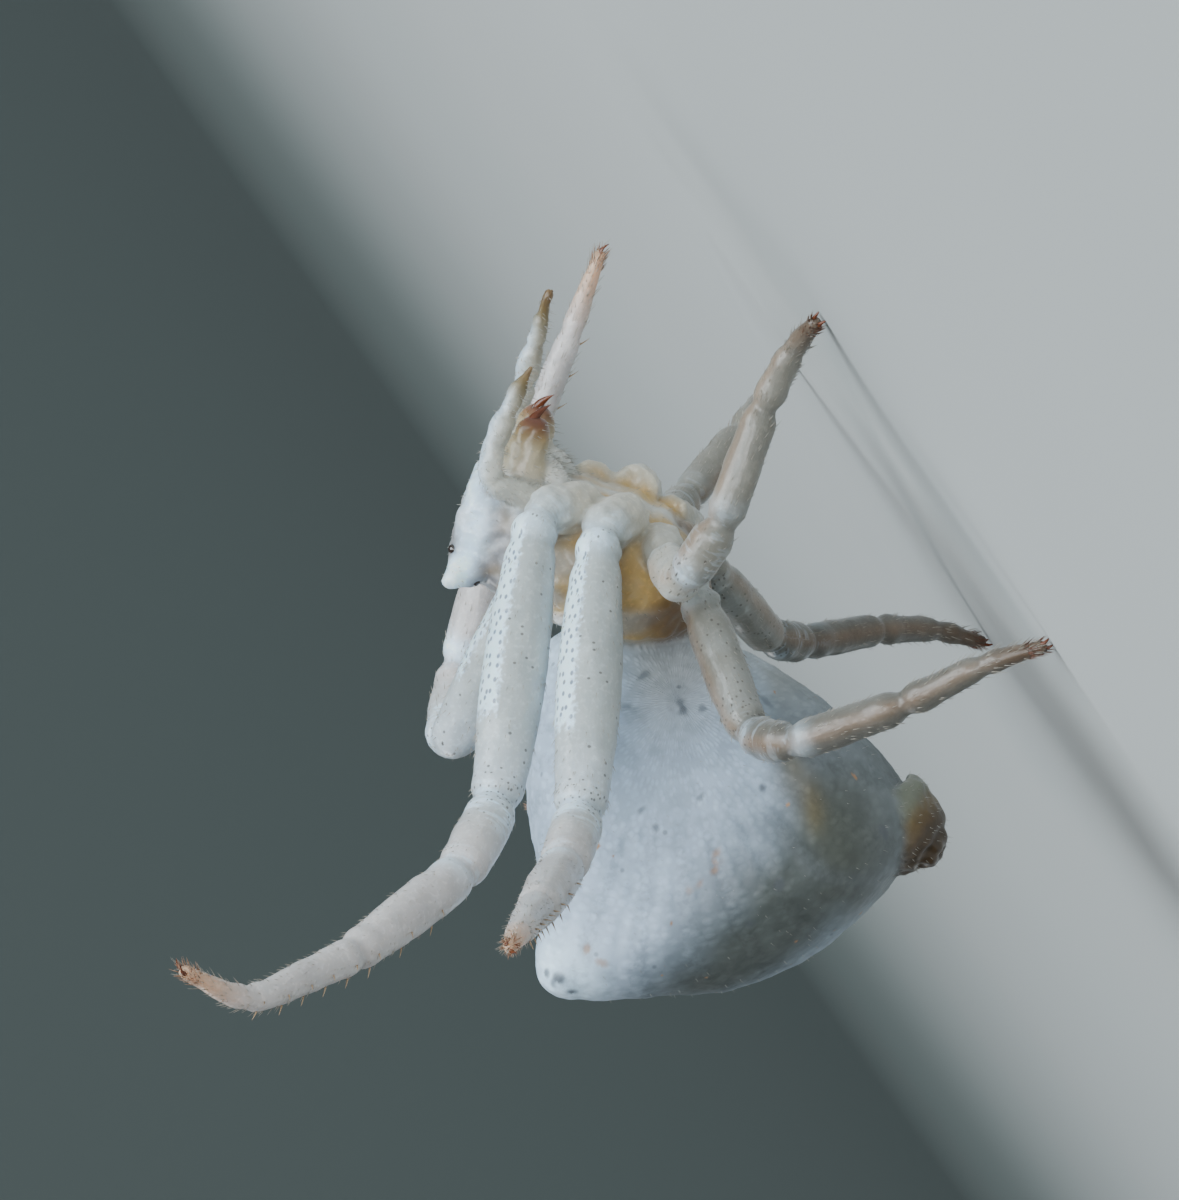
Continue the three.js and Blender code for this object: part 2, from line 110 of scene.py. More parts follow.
TUBERCLE_ROOT = np.array([0.66, -3.02, -0.40])
TUBERCLE_TIP = np.array([1.22, -3.36, -0.02])
TUBERCLE_RADII = [0.34, 0.23, 0.09]

CHELICERA_TOP = np.array([0.42, -2.78, -1.20])
CHELICERA_TIP = np.array([0.32, -2.88, -2.42])
CHELICERA_RADII = [0.32, 0.31, 0.16]
FANG_LENGTH = 0.24
FANG_WAY = np.array([-0.25, 0.28, -0.93])
FANG_RADIUS = 0.07
FANG_BEND = np.array([0, 0.25, 0.1])
FANG_SUNK = 0.1
PALP_RADII = [0.20, 0.22, 0.21, 0.07]
PALP_JOINTS = [0.36, 0.56, 0.74]
PALP_PATHS = {
    "right": [[-0.62, -2.30, -1.42], [-1.02, -3.22, -1.50], [-0.92, -3.30, -2.20], [-0.72, -3.12, -3.18]],
    "left": [[0.62, -2.30, -1.42], [1.00, -3.12, -1.55], [0.84, -3.16, -2.40], [0.61, -3.21, -3.89]],
}

# Legs: hip, thigh, knee, shin and the two lengths of the foot, from the first pair to the fourth
LEG_LENGTHS = [
    [1.12, 4.20, 1.55, 2.65, 2.35, 1.25],
    [1.05, 4.20, 1.50, 2.40, 2.10, 1.15],
    [0.80, 1.95, 1.00, 1.65, 0.95, 0.75],
    [0.80, 2.40, 1.00, 1.65, 1.20, 0.90],
]
STOUT_LEG_RADII = [
    [0.34, 0.36, 0.29],
    [0.28, 0.45, 0.34],
    [0.32, 0.36, 0.30],
    [0.31, 0.33, 0.26],
    [0.25, 0.21, 0.10],
]
SLIM_LEG_RADII = [
    [0.29, 0.30, 0.25],
    [0.25, 0.33, 0.27],
    [0.26, 0.30, 0.25],
    [0.25, 0.27, 0.22],
    [0.23, 0.19, 0.10],
]
BEND_LENGTH = 0.5
BEND_STEPS = 25
# The way that the striped front of a left leg's thigh faces
LEG_FRONT = [0.34, -0.55, 0.77]
LEG_ROOTS = [
    [0.62, -1.85, -1.52],
    [0.66, -1.30, -1.56],
    [0.66, -0.78, -1.38],
    [0.58, -0.52, -1.14],
]
# Each length's heading from straight ahead out to the side, and its rise above level
LEG_POSES = {
    "right_leg_1": [[70, 34], [153, 40], [110, 36], [90, 38], [81, 35], [45, 18]],
    "right_leg_2": [[88, 26], [148, 35], [105, 22], [94, 13], [91, 8], [93, 11]],
    "right_leg_3": [[112, 8], [100, 2], [45, -63], [11, -54], [47, -53], [81, -34]],
    "right_leg_4": [[130, 2], [147, 13], [114, -21], [134, -68], [107, -67], [136, -65]],
    "left_leg_1": [[100, 25], [132, 53], [48, -33], [-5, -51], [-3, -57], [-6, -55]],
    "left_leg_2": [[92, -4], [142, 38], [104, 15], [98, 9], [86, 6], [74, 10]],
    "left_leg_3": [[118, -10], [82, 2], [82, -29], [72, -50], [70, -52], [73, -48]],
    "left_leg_4": [[132, -6], [125, -5], [112, -24], [111, -38], [123, -38], [143, -34]],
}
STANDING = ["right_leg_3", "right_leg_4", "left_leg_3", "left_leg_4"]
FOOT_HEIGHT = 0.07

# Soft plates and lobes under the front body: middle and half sizes, in its frame
STERNUM = ([0.0, -1.45, -1.46], [0.34, 0.85, 0.17])
LABIUM = ([0.0, -2.38, -1.58], [0.17, 0.24, 0.16])
MOUTH_LOBE_ROOT = [0.42, -2.20, -1.45]
MOUTH_LOBE_TIP = [0.20, -2.74, -1.86]
MOUTH_LOBE_RADII = [0.20, 0.23, 0.12]

# The skin: how far it lies inside the solids, how fine it is, how often it is smoothed
SKIN_DEPTH = 0.015
PALP_THINNING = 0.035
SKIN_VOXEL = 0.037
SKIN_SMOOTHING = 5
LINE_STEP = 0.03
TUBE_SIDES = 28
ABDOMEN_SKIN_GRID = [150, 190]
PROSOMA_SKIN_GRID = [90, 110]
# How many points are measured against a leg at once
CHUNK = 4000
# Folds where two lengths of a leg or feeler meet, and the ring just past each hip
JOINT_DEPTH = 0.045
JOINT_WIDTH = 0.09
BULGE_HEIGHT = 0.018
RING_LENGTH = 0.42
WRINKLE_SPACING = 0.10
# The stripe's dashes along and round the thigh, to a millimetre; the specks, to a millimetre, and their size
DASHES_PER_MM = (6.0, 10.5, 0.0)
LEG_SPECKS = ((6.0, 0.17), (9.5, 0.22))
EYE_RIM = 0.018
TONE_BLENDING = 12
# Rows of small folds on the abdomen: the point back and up that they fan out from, how many in a full turn
FAN_CENTRE = np.array([0.90, -0.46])
FAN_ROWS = 104
FAN_DEPTH = 0.006
BAND_COUNT = 30
BEAD_SPACING = 0.125
# Small hollows on the back of the abdomen: place across and back
HOLLOWS = [[0.0, 0.95], [0.52, 1.75], [0.72, 2.75]]
HOLLOW_RADIUS = 0.13
HOLLOW_DEPTH = 0.035
# Furrows of the front body, which run out from one point: angles from straight back, in degrees
FURROW_CENTRE = np.array([0.0, -1.35])
FURROW_ANGLES = [38, 82, 122]
FURROW_DEPTH = 0.03

# Hairs of the body: part, row on the bake map, how many, length and width
BODY_HAIRS = [
    ["abdomen", 8, 600, 0.050, 0.009],
    ["spinneret", 8, 110, 0.060, 0.010],
    ["prosoma", 9, 260, 0.070, 0.013],
    ["tubercle", 9, 60, 0.060, 0.012],
    ["chelicera", 9, 150, 0.100, 0.013],
    ["lobe", 9, 160, 0.090, 0.013],
    ["palp_right", 10, 300, 0.080, 0.012],
    ["palp_left", 11, 360, 0.080, 0.012],
]
BAKE_ROWS = 12
LEG_HAIRS_PER_MM = 62
LEG_HAIR_LENGTH = 0.075
FOOT_HAIR_GAIN = 0.045
LEG_HAIR_WIDTH = 0.013
TUFT_HAIRS = 70
TUFT_REACH = 0.30
TUFT_LENGTH = 0.12
TUFT_WIDTH = 0.016
# Spines in pairs under the shins and feet of the front legs: how many pairs on each, length, width
SPINE_PAIRS = [3, 5]
SPINE_LENGTH = 0.17
SPINE_WIDTH = 0.032
# Kinds of bristle on the legs: how deep the root is, how far out and on it points, its lean and its fall
LEG_HAIR_KIND = [0.012, 0.5, 0.85, 0.25, 0.0]
TUFT_KIND = [0.012, 0.45, 0.8, 0.1, 0.2]
SPINE_KIND = [0.02, 0.75, 0.75, 0.2, 0.0]
CLAW_LENGTH = 0.19
CLAW_WIDTH = 0.032
CLAW_GAP = 0.045
CLAW_SUNK = 0.08
# Each bristle's patch on the bake map, the lowest root that gets a bristle, and the lowest points
BAKE_PATCH = 0.003
LOWEST_ROOT = 0.10
LOWEST_HAIR = 0.002
LOWEST_CLAW = 0.004

# The studio, in millimetres: flat floor, its bend up into the wall, the wall, and where the paper is darkest
FLOOR_REACH = 450.0
FLOOR_BEND = 250.0
WALL_TOP = 500.0
WALL_SIDES = 96
PAPER_FADE = 260.0
LIGHTS_HEIGHT = 5
# Lamps: name, way from the spider, distance, width and height, watts, colour
LAMPS = [
    ["key", (-0.55, -0.64, 0.54), 520, (520, 480), 4.9, (0.84, 0.94, 1.0)],
    ["fill", (-0.98, -0.12, 0.16), 450, (300, 120), 0.9, (0.95, 0.98, 1.0)],
    ["glint", (-0.90, -0.12, 0.42), 420, (36, 36), 0.15, (1.0, 1.0, 1.0)],
]
RIM_WAY = (0.52, 0.42, 0.74)
RIM_STRENGTH = 0.9
RIM_SPREAD = 30
RIM_COLOUR = (0.95, 0.98, 1.0)
ROOM_COLOUR = (0.80, 0.88, 1.0, 1)
ROOM_STRENGTH = 0.14

# Marks on each side of the abdomen, in its frame for the right side: place, radius, and how strong
SMUDGES = [
    [[-1.37, 0.44, -0.11], 0.10, 0.55],
    [[-1.68, 0.75, 0.16], 0.08, 0.45],
    [[-1.61, 1.02, -0.51], 0.09, 0.65],
    [[-1.56, 1.13, -0.74], 0.06, 0.55],
    [[-1.96, 2.38, -1.19], 0.07, 0.75],
    [[-2.22, 2.21, -0.43], 0.05, 0.60],
    [[-2.32, 2.08, 0.37], 0.05, 0.60],
    [[-2.40, 2.36, 0.26], 0.05, 0.60],
    [[-2.25, 3.65, -0.98], 0.10, 0.55],
    [[-2.30, 4.00, -0.44], 0.08, 0.45],
    [[-1.05, 3.55, -2.35], 0.12, 0.60],
    [[-1.05, 1.33, -1.47], 0.10, 0.40],
    [[-0.70, 1.90, -2.10], 0.09, 0.50],
    [[-2.81, 3.78, 2.16], 0.09, 0.90],
    [[-2.79, 3.64, 2.29], 0.06, 0.75],
    [[-2.71, 4.00, 2.07], 0.07, 0.85],
    [[-2.55, 4.22, 1.95], 0.06, 0.60],
]
STAINS = [
    [[-2.42, 2.97, -0.39], 0.07, 0.60],
    [[-2.46, 3.07, -0.34], 0.06, 0.60],
    [[-2.47, 3.17, -0.29], 0.06, 0.65],
    [[-2.53, 3.25, -0.08], 0.06, 0.50],
    [[-2.57, 3.29, 0.12], 0.06, 0.45],
    [[-2.83, 3.53, 1.63], 0.06, 0.70],
    [[-2.81, 3.77, 1.53], 0.07, 0.55],
]


def smooth_step(low, high, value):
    t = np.clip((value - low) / (high - low), 0, 1)
    return t * t * (3 - 2 * t)


def bump_at(value, middle, width):
    return np.exp(-(((value - middle) / width) ** 2))


def unit(vectors):
    return vectors / np.linalg.norm(vectors, axis=-1, keepdims=True)


def soft_noise(places, size, seed):
    """Smooth noise, mostly between -1 and 1, whose blobs are about as wide as size."""
    random = np.random.default_rng(seed)
    waves = 14
    ways = unit(random.normal(size=(waves, 3))) * random.uniform(0.7, 1.5, (waves, 1)) * math.pi / size
    return np.sin(places @ ways.T + random.uniform(0, 2 * math.pi, waves)).sum(1) / 3.7


# Frames

def turn(pitch, roll):
    pitched = Matrix.Rotation(math.radians(pitch), 3, "X")
    return np.array(pitched @ Matrix.Rotation(math.radians(roll), 3, "Y"))


FRONT_TURN = turn(FRONT_PITCH, FRONT_ROLL)
ABDOMEN_TURN = turn(ABDOMEN_PITCH, ABDOMEN_ROLL)


def from_front(points):
    return np.asarray(points) @ FRONT_TURN.T + WAIST


def from_abdomen(points):
    return np.asarray(points) @ ABDOMEN_TURN.T + ABDOMEN_FRONT


def to_front(points):
    return (points - WAIST) @ FRONT_TURN


def to_abdomen(points):
    return (points - ABDOMEN_FRONT) @ ABDOMEN_TURN


def mirrored(point, side):
    return np.array(point) * np.array([side, 1, 1])


# Shapes

def column_curve(rows, column, t):
    """A smooth value between the entries of a list of rows, at shares t of the way along it."""
    values = np.array([row[column] for row in rows])
    last = len(values) - 1
    padded = np.concatenate([[2 * values[0] - values[1]], values, [2 * values[-1] - values[-2]]])
    at = np.clip(np.asarray(t) * last, 0, last)
    i = np.minimum(at.astype(int), last - 1)
    w = at - i
    before, start, end, after = (padded[i + k] for k in range(4))
    out = (end - before) / 2
    into = (after - start) / 2
    square = -3 * start + 3 * end - 2 * out - into
    cube = 2 * start - 2 * end + out + into
    return start + out * w + square * w ** 2 + cube * w ** 3


def rounded(angle, squareness):
    c, s = np.cos(angle), np.sin(angle)
    power = 2 / squareness
    return np.sign(c) * np.abs(c) ** power, np.sign(s) * np.abs(s) ** power


def ring_angles(count):
    return 2 * np.pi * np.arange(count) / count


def circles(across, up, sides):
    """For each point of a line, the ways out from it to so many sides."""
    angle = ring_angles(sides)
    return across[:, None] * np.cos(angle)[None, :, None] + up[:, None] * np.sin(angle)[None, :, None]


def three_step(radii, t):
    start, middle, end = radii
    return start + (end - start) * t + (middle - (start + end) / 2) * np.sin(np.pi * t)


def loft(rings):
    """A closed surface through rings of points, with a fan at each end."""
    count, sides = rings.shape[:2]
    points = np.concatenate([rings.reshape(-1, 3), rings[:1].mean(1), rings[-1:].mean(1)])
    near = np.arange(count - 1)[:, None] * sides + np.arange(sides)
    side = np.arange(count - 1)[:, None] * sides + (np.arange(sides) + 1) % sides
    quads = np.stack([near, side, side + sides, near + sides], -1).reshape(-1, 4)
    first = count * sides
    ahead = np.arange(sides)
    beside = (ahead + 1) % sides
    top = (count - 1) * sides
    caps = [(first, b, a) for a, b in zip(ahead, beside)]
    caps += [(first + 1, top + a, top + b) for a, b in zip(ahead, beside)]
    return points, quads.tolist() + caps


def abdomen_rings(ring_count, side_count, inset=0.0):
    t = np.linspace(0, 1, ring_count)[:, None]
    angle = -ring_angles(side_count)[None, :]
    back, top, under, half_width = (column_curve(ABDOMEN_SECTIONS, c, t) for c in range(4))
    c, s = rounded(angle, ABDOMEN_SQUARENESS)
    x = c * (half_width - inset) * (1 + ABDOMEN_TOP_WIDENING * s)
    z = (top + under) / 2 + s * ((top - under) / 2 - inset)
    points = np.stack([x, np.broadcast_to(back, x.shape), z], -1)
    moved = points.copy()
    for side in (-1, 1):
        lean = unit(mirrored(HUMP_LEAN, side))
        away = np.linalg.norm(points - mirrored(HUMP_PLACE, side), axis=-1) / HUMP_WIDTH
        moved += lean * (HUMP_HEIGHT * np.exp(-away ** 2))[..., None]
    return from_abdomen(moved)


def prosoma_rings(ring_count, side_count, inset):
    t = np.linspace(0, 1, ring_count)[:, None]
    angle = ring_angles(side_count)[None, :]
    ahead, middle, half_height, half_width = (column_curve(PROSOMA_SECTIONS, c, t) for c in range(4))
    c, s = rounded(angle, PROSOMA_SQUARENESS)
    x = c * (half_width - inset)
    z = middle + s * (half_height - inset)
    return from_front(np.stack([x, np.broadcast_to(-ahead, x.shape), z], -1))


def frames_along(line, start_index=0, wanted=None):
    """Directions along, across and up at each point of a line, with as little twist as possible."""
    along = unit(np.gradient(line, axis=0))
    if wanted is None:
        wanted = np.array([0.0, 0, 1]) if abs(along[start_index][2]) < 0.9 else np.array([1.0, 0, 0])
    across = np.zeros_like(line)
    order = [range(start_index, len(line)), range(start_index, -1, -1)]
    for steps in order:
        now = wanted
        for i in steps:
            now = now - along[i] * (now @ along[i])
            now = now / np.linalg.norm(now)
            across[i] = now
    return along, across, np.cross(along, across)


def tube(line, radius, sides):
    _, across, up = frames_along(line)
    return loft(line[:, None] + circles(across, up, sides) * radius[:, None, None])


def joined(pieces):
    """The points and faces of several pieces as those of one."""
    faces = []
    start = 0
    for points, some_faces in pieces:
        faces += [[i + start for i in face] for face in some_faces]
        start += len(points)
    return np.concatenate([points for points, _ in pieces]), faces


def cone(start, end, radii, sides=20, steps=14, round_tip=0.0):
    t = np.linspace(0, 1, steps)
    line = np.asarray(start) + (np.asarray(end) - start) * t[:, None]
    radius = three_step(radii, t)
    if round_tip:
        length = np.linalg.norm(np.asarray(end) - start)
        left = np.clip((1 - t) * length / round_tip, 0.02, 1)
        radius = radius * np.sqrt(1 - (1 - left) ** 2)
    return tube(line, radius, sides)


def bent_line(points):
    """A line through points with rounded bends, in even steps; how far along each step and each bend is."""
    samples = [points[0]]
    for before, corner, after in zip(points, points[1:], points[2:]):
        back = before - corner
        on = after - corner
        reach = min(BEND_LENGTH, np.linalg.norm(back) * 0.4, np.linalg.norm(on) * 0.4)
        start = corner + unit(back) * reach
        end = corner + unit(on) * reach
        for t in np.linspace(0, 1, BEND_STEPS):
            samples.append((1 - t) ** 2 * start + 2 * t * (1 - t) * corner + t ** 2 * end)
    samples.append(points[-1])
    samples = np.array(samples)
    walked = np.concatenate([[0], np.cumsum(np.linalg.norm(np.diff(samples, axis=0), axis=1))])
    middles = [walked[1 + BEND_STEPS * i + BEND_STEPS // 2] for i in range(len(points) - 2)]
    even = np.linspace(0, walked[-1], max(8, int(walked[-1] / LINE_STEP)))
    line = np.stack([np.interp(even, walked, samples[:, k]) for k in range(3)], -1)
    return line, even, np.array([0.0] + middles + [walked[-1]])


# Legs

def leg_points(name):
    side = 1 if name.startswith("left") else -1
    pair = int(name[-1]) - 1
    points = [from_front(mirrored(LEG_ROOTS[pair], side))]
    for (yaw, rise), length in zip(LEG_POSES[name], LEG_LENGTHS[pair]):
        a, b = math.radians(yaw), math.radians(rise)
        step = np.array([side * math.sin(a) * math.cos(b), -math.cos(a) * math.cos(b), math.sin(b)])
        points.append(points[-1] + step * length)
    points = np.array(points)
    if name in STANDING:
        drop = points[-1][2] - FOOT_HEIGHT
        share = np.maximum(0, np.arange(len(points)) - 1) / (len(points) - 2)
        points[:, 2] -= drop * share
    return points


def leg_shape(name):
    """A leg's line, how far along it each point and each meeting of two lengths is, its radius, its front."""
    side = 1 if name.startswith("left") else -1
    line, walked, stops = bent_line(leg_points(name))
    radii = STOUT_LEG_RADII if int(name[-1]) < 3 else SLIM_LEG_RADII
    edges = np.append(stops[:5], stops[-1])
    radius = np.zeros(len(line))
    for i in range(5):
        inside = (walked >= edges[i]) & (walked <= edges[i + 1])
        radius[inside] = three_step(radii[i], (walked[inside] - edges[i]) / (edges[i + 1] - edges[i]))
    kernel = np.ones(7) / 7
    radius = np.convolve(np.pad(radius, 3, mode="edge"), kernel, mode="valid") - SKIN_DEPTH
    joints = [*edges[1:5], edges[1] + RING_LENGTH, stops[5]]
    depths = [1, 1, 1, 1, 0.5, 0.5]
    for joint, depth in zip(joints, depths):
        radius -= depth * JOINT_DEPTH * bump_at(walked, joint, JOINT_WIDTH)
        radius += depth * BULGE_HEIGHT * bump_at(np.abs(walked - joint), 2.6 * JOINT_WIDTH, 1.4 * JOINT_WIDTH)
    left = np.clip((walked[-1] - walked) / radius[-1], 0, 1)
    radius = radius * np.sqrt(np.clip(1 - (1 - left) ** 2, 0.01, 1))
    front = mirrored(LEG_FRONT, side)
    middle = int(np.searchsorted(walked, (edges[1] + edges[2]) / 2))
    along, across, up = frames_along(line, middle, front)
    return {"line": line, "walked": walked, "edges": edges, "stops": stops, "radius": radius,
            "along": along, "across": across, "up": up * side}


# The spider's pieces of flesh, before they are joined

def ball(centre, half_sizes, rings=24, sides=32):
    t = np.linspace(0.02, math.pi - 0.02, rings)[:, None]
    angle = ring_angles(sides)[None, :]
    points = np.stack([np.sin(t) * np.cos(angle), np.sin(t) * np.sin(angle), np.cos(t) + 0 * angle], -1)
    return loft(np.asarray(centre) + points * np.asarray(half_sizes))


def head_parts(side_name, side):
    """Eye horn, jaw, feeler and mouth lobe of one side."""
    places = [TUBERCLE_ROOT, TUBERCLE_TIP, CHELICERA_TOP, CHELICERA_TIP, MOUTH_LOBE_ROOT, MOUTH_LOBE_TIP]
    places = [from_front(mirrored(place, side)) for place in places]
    horn = cone(*places[:2], TUBERCLE_RADII, round_tip=0.12)
    jaw = cone(*places[2:4], CHELICERA_RADII, 24, 40, round_tip=0.18)
    lobe = cone(*places[4:], MOUTH_LOBE_RADII, 20, 16, round_tip=0.14)
    line, walked, _ = bent_line(from_front(PALP_PATHS[side_name]))
    share = walked / walked[-1]
    radius = np.interp(share * 3, range(4), PALP_RADII) - SKIN_DEPTH
    radius = radius - PALP_THINNING * bump_at(share, 0.5, 0.4)
    for joint in PALP_JOINTS:
        radius -= 0.6 * JOINT_DEPTH * bump_at(walked, joint * walked[-1], 0.8 * JOINT_WIDTH)
    feeler = tube(line, radius, 20)
    named = (("tubercle_", horn), ("chelicera_", jaw), ("palp_", feeler), ("lobe_", lobe))
    return [(kind + side_name, *shape) for kind, shape in named]


def spinneret_parts():
    lean = unit(SPINNERET_LEAN)
    end = SPINNERET_BASE + lean * SPINNERET_LENGTH
    base = SPINNERET_BASE - lean * SPINNERET_SUNK
    parts = [("spinnerets", *cone(from_abdomen(base), from_abdomen(end), SPINNERET_RADII, 28))]
    up = np.cross(lean, [1, 0, 0])
    for i in range(SPINNERET_TIPS):
        angle = 2 * math.pi * (i + 0.5) / SPINNERET_TIPS
        out = np.array([math.cos(angle), 0, 0]) + up * math.sin(angle)
        root = end + out * SPINNERET_TIP_SPREAD - lean * SPINNERET_TIP_SUNK
        tip = root + lean * SPINNERET_TIP_LENGTH - out * 0.10
        radii = [SPINNERET_TIP_RADIUS, SPINNERET_TIP_RADIUS, SPINNERET_TIP_RADIUS / 2]
        parts.append(("spinneret_tip", *cone(from_abdomen(root), from_abdomen(tip), radii, round_tip=0.08)))
    return parts


def flesh():
    """The closed surfaces that the skin is made from: name, points and faces."""
    parts = [("abdomen", *loft(abdomen_rings(*ABDOMEN_SKIN_GRID, SKIN_DEPTH)))]
    parts.append(("prosoma", *loft(prosoma_rings(*PROSOMA_SKIN_GRID, SKIN_DEPTH))))
    parts.append(("pedicel", *cone(from_front(PEDICEL_FRONT), from_abdomen(PEDICEL_REAR), PEDICEL_RADII)))
    for name, (centre, half_sizes) in (("sternum", STERNUM), ("labium", LABIUM)):
        points, faces = ball(centre, half_sizes)
        parts.append((name, from_front(points), faces))
    parts += head_parts("right", -1) + head_parts("left", 1) + spinneret_parts()
    for name, shape in LEGS.items():
        parts.append((name, *tube(shape["line"], shape["radius"], TUBE_SIDES)))
    return parts


LEGS = {name: leg_shape(name) for name in LEG_POSES}


# Meshes

def linked(name, data):
    obj = bpy.data.objects.new(name, data)
    bpy.context.scene.collection.objects.link(obj)
    return obj


def new_object(name, points, faces):
    mesh = bpy.data.meshes.new(name)
    mesh.from_pydata([tuple(p) for p in points], [], faces)
    mesh.update()
    return linked(name, mesh)


def numbers_of(items, name, width, kind=np.int32):
    """One value of each of a mesh's items, such as its points or edges, in rows of the given width."""
    values = np.zeros(len(items) * width, kind)
    items.foreach_get(name, values)
    return values.reshape(-1, width)


def places_of(mesh):
    return numbers_of(mesh.vertices, "co", 3, np.float32).astype(float)


def normals_of(mesh):
    return numbers_of(mesh.vertex_normals, "vector", 3, np.float32).astype(float)


def edges_of(mesh):
    return numbers_of(mesh.edges, "vertices", 2)


def corners_of(mesh):
    """The point at each corner of each face."""
    return numbers_of(mesh.loops, "vertex_index", 1)[:, 0]


def set_places(mesh, places):
    mesh.vertices.foreach_set("co", np.ascontiguousarray(places, np.float32).ravel())
    mesh.update()


def spread(values, edges, times):
    """Values at a mesh's points, each time mixed half and half with the mean of their neighbours."""
    count = np.bincount(edges.ravel(), minlength=len(values))
    for _ in range(times):
        total = np.zeros_like(values)
        for k in range(values.shape[1]):
            total[:, k] = np.bincount(edges[:, 0], values[edges[:, 1], k], len(values))
            total[:, k] += np.bincount(edges[:, 1], values[edges[:, 0], k], len(values))
        values = 0.5 * values + 0.5 * total / np.maximum(count, 1)[:, None]
    return values


def shade_smooth(mesh):
    mesh.polygons.foreach_set("use_smooth", np.ones(len(mesh.polygons), bool))


def fused_skin(parts):
    """One closed surface round all the parts, still in millimetres."""
    obj = new_object("spider_skin", *joined([shape for _, *shape in parts]))
    remesh = obj.modifiers.new("fuse", "REMESH")
    remesh.mode = "VOXEL"
    remesh.voxel_size = SKIN_VOXEL
    smooth = obj.modifiers.new("smooth", "SMOOTH")
    smooth.factor = 0.5
    smooth.iterations = SKIN_SMOOTHING
    shown = obj.evaluated_get(bpy.context.evaluated_depsgraph_get())
    mesh = bpy.data.meshes.new_from_object(shown)
    obj.modifiers.clear()
    obj.data = mesh
    return obj


def nearest_parts(places, parts):
    """The number of the part that each place is nearest to."""
    owner = np.concatenate([np.full(len(points), i) for i, (_, points, _) in enumerate(parts)])
    points = np.concatenate([points for _, points, _ in parts])
    tree = KDTree(len(points))
    for i, point in enumerate(points):
        tree.insert(point, i)
    tree.balance()
    return np.array([owner[tree.find(place)[1]] for place in places])


def along_leg(places, shape):
    """For places on a leg: how far along it each is, and its angle from the leg's front."""
    walked = np.zeros(len(places))
    angle = np.zeros(len(places))
    for start in range(0, len(places), CHUNK):
        here = slice(start, start + CHUNK)
        gaps = np.linalg.norm(places[here, None] - shape["line"][None], axis=2)
        i = gaps.argmin(1)
        offset = places[here] - shape["line"][i]
        ahead, across, up = ((offset * shape[way][i]).sum(1) for way in ("along", "across", "up"))
        walked[here] = shape["walked"][i] + ahead
        angle[here] = np.arctan2(up, across)
    return walked, angle


def eye_places():
    """Name, middle and radius of each eye, before the spider is centred."""
    found = []
    for name in sorted(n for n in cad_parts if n.startswith("eye_")):
        low, high = (np.array(corner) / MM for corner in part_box(name))
        found.append((name, (low + high) / 2 - SHIFT, (high - low).max() / 2))
    return found


# Colours, as plain numbers from 0 to 1 in linear light

GLASSY = np.array([0.43, 0.465, 0.462])
MILKY = np.array([0.58, 0.64, 0.70])
# White with a strong blue cast, which is in part painted sky light
CHALK = np.array([0.69, 0.86, 1.00])
OCHRE = np.array([0.66, 0.43, 0.14])
BROWN = np.array([0.085, 0.045, 0.02])
OLIVE = np.array([0.15, 0.105, 0.03])
PINK = np.array([0.58, 0.52, 0.51])
ORANGE = np.array([0.60, 0.33, 0.17])
RED_BROWN = np.array([0.14, 0.038, 0.014])
# The abdomen's white, with a blue cast that is in part painted sky light
BELLY = np.array([0.52, 0.63, 0.77])
VENTER = np.array([0.225, 0.235, 0.23])
CREAM = np.array([0.64, 0.57, 0.44])
# Painted shade that darkens the third and fourth legs
HIND_LEG_SHADE = np.array([0.28, 0.265, 0.225])
SMOKE = np.array([0.10, 0.11, 0.13])
# Painted shade for the rear flanks of the abdomen, over their faint grey tint; made lighter, it is also the
# spinnerets' grey collar
REAR_SHADE_OLIVE = np.array([0.075, 0.08, 0.06])
DASH_COLOUR = (0.10, 0.12, 0.17)
SPECK_COLOUR = (0.09, 0.075, 0.06)
EYE_COLOURS = ((0.012, 0.008, 0.006), (0.04, 0.025, 0.02))
HORN_COLOURS = ((0.05, 0.012, 0.006), (0.22, 0.06, 0.02))
# The pieces of hair in the order they are made: dark and pale colour of each
HAIR_COLOURS = {
    "leg_bristles": [(0.14, 0.11, 0.08), (0.60, 0.56, 0.48)],
    "body_hairs": [(0.22, 0.20, 0.16), (0.52, 0.51, 0.47)],
    "front_tufts": [(0.26, 0.13, 0.08), (0.50, 0.32, 0.22)],
    "rear_tufts": [(0.05, 0.02, 0.012), (0.22, 0.09, 0.05)],
    "leg_spines": [(0.34, 0.20, 0.10), (0.62, 0.46, 0.30)],
}
PAPER_COLOURS = ((0.50, 0.52, 0.51), (0.56, 0.58, 0.57))
FAR_PAPER = (0.17, 0.20, 0.19)
# How strong the painted shade on the third and fourth legs is, up to the knee and beyond it
HIND_LEG_SHADE_SHARES = {3: [1.40, 0.66], 4: [0.80, 0.38]}
# Where the colours of the front body change, in its frame
FACE_TO_SIDES = [-2.45, -1.65]
BAND_ACROSS = [0.68, 0.26]
BAND_START = [-2.75, -2.1]
BAND_RISE = [-0.35, 0.0]
# Painted shade in the gap between the front body and the abdomen: where it starts and where it is full
WAIST_SHADE = [-0.85, -0.30]
HORN_ACROSS = [0.72, 1.05]
HORN_AHEAD = [-2.95, -3.15]
CLYPEUS_AHEAD = [-3.15, -3.35]
CLYPEUS_DOWN = [-0.95, -1.15]
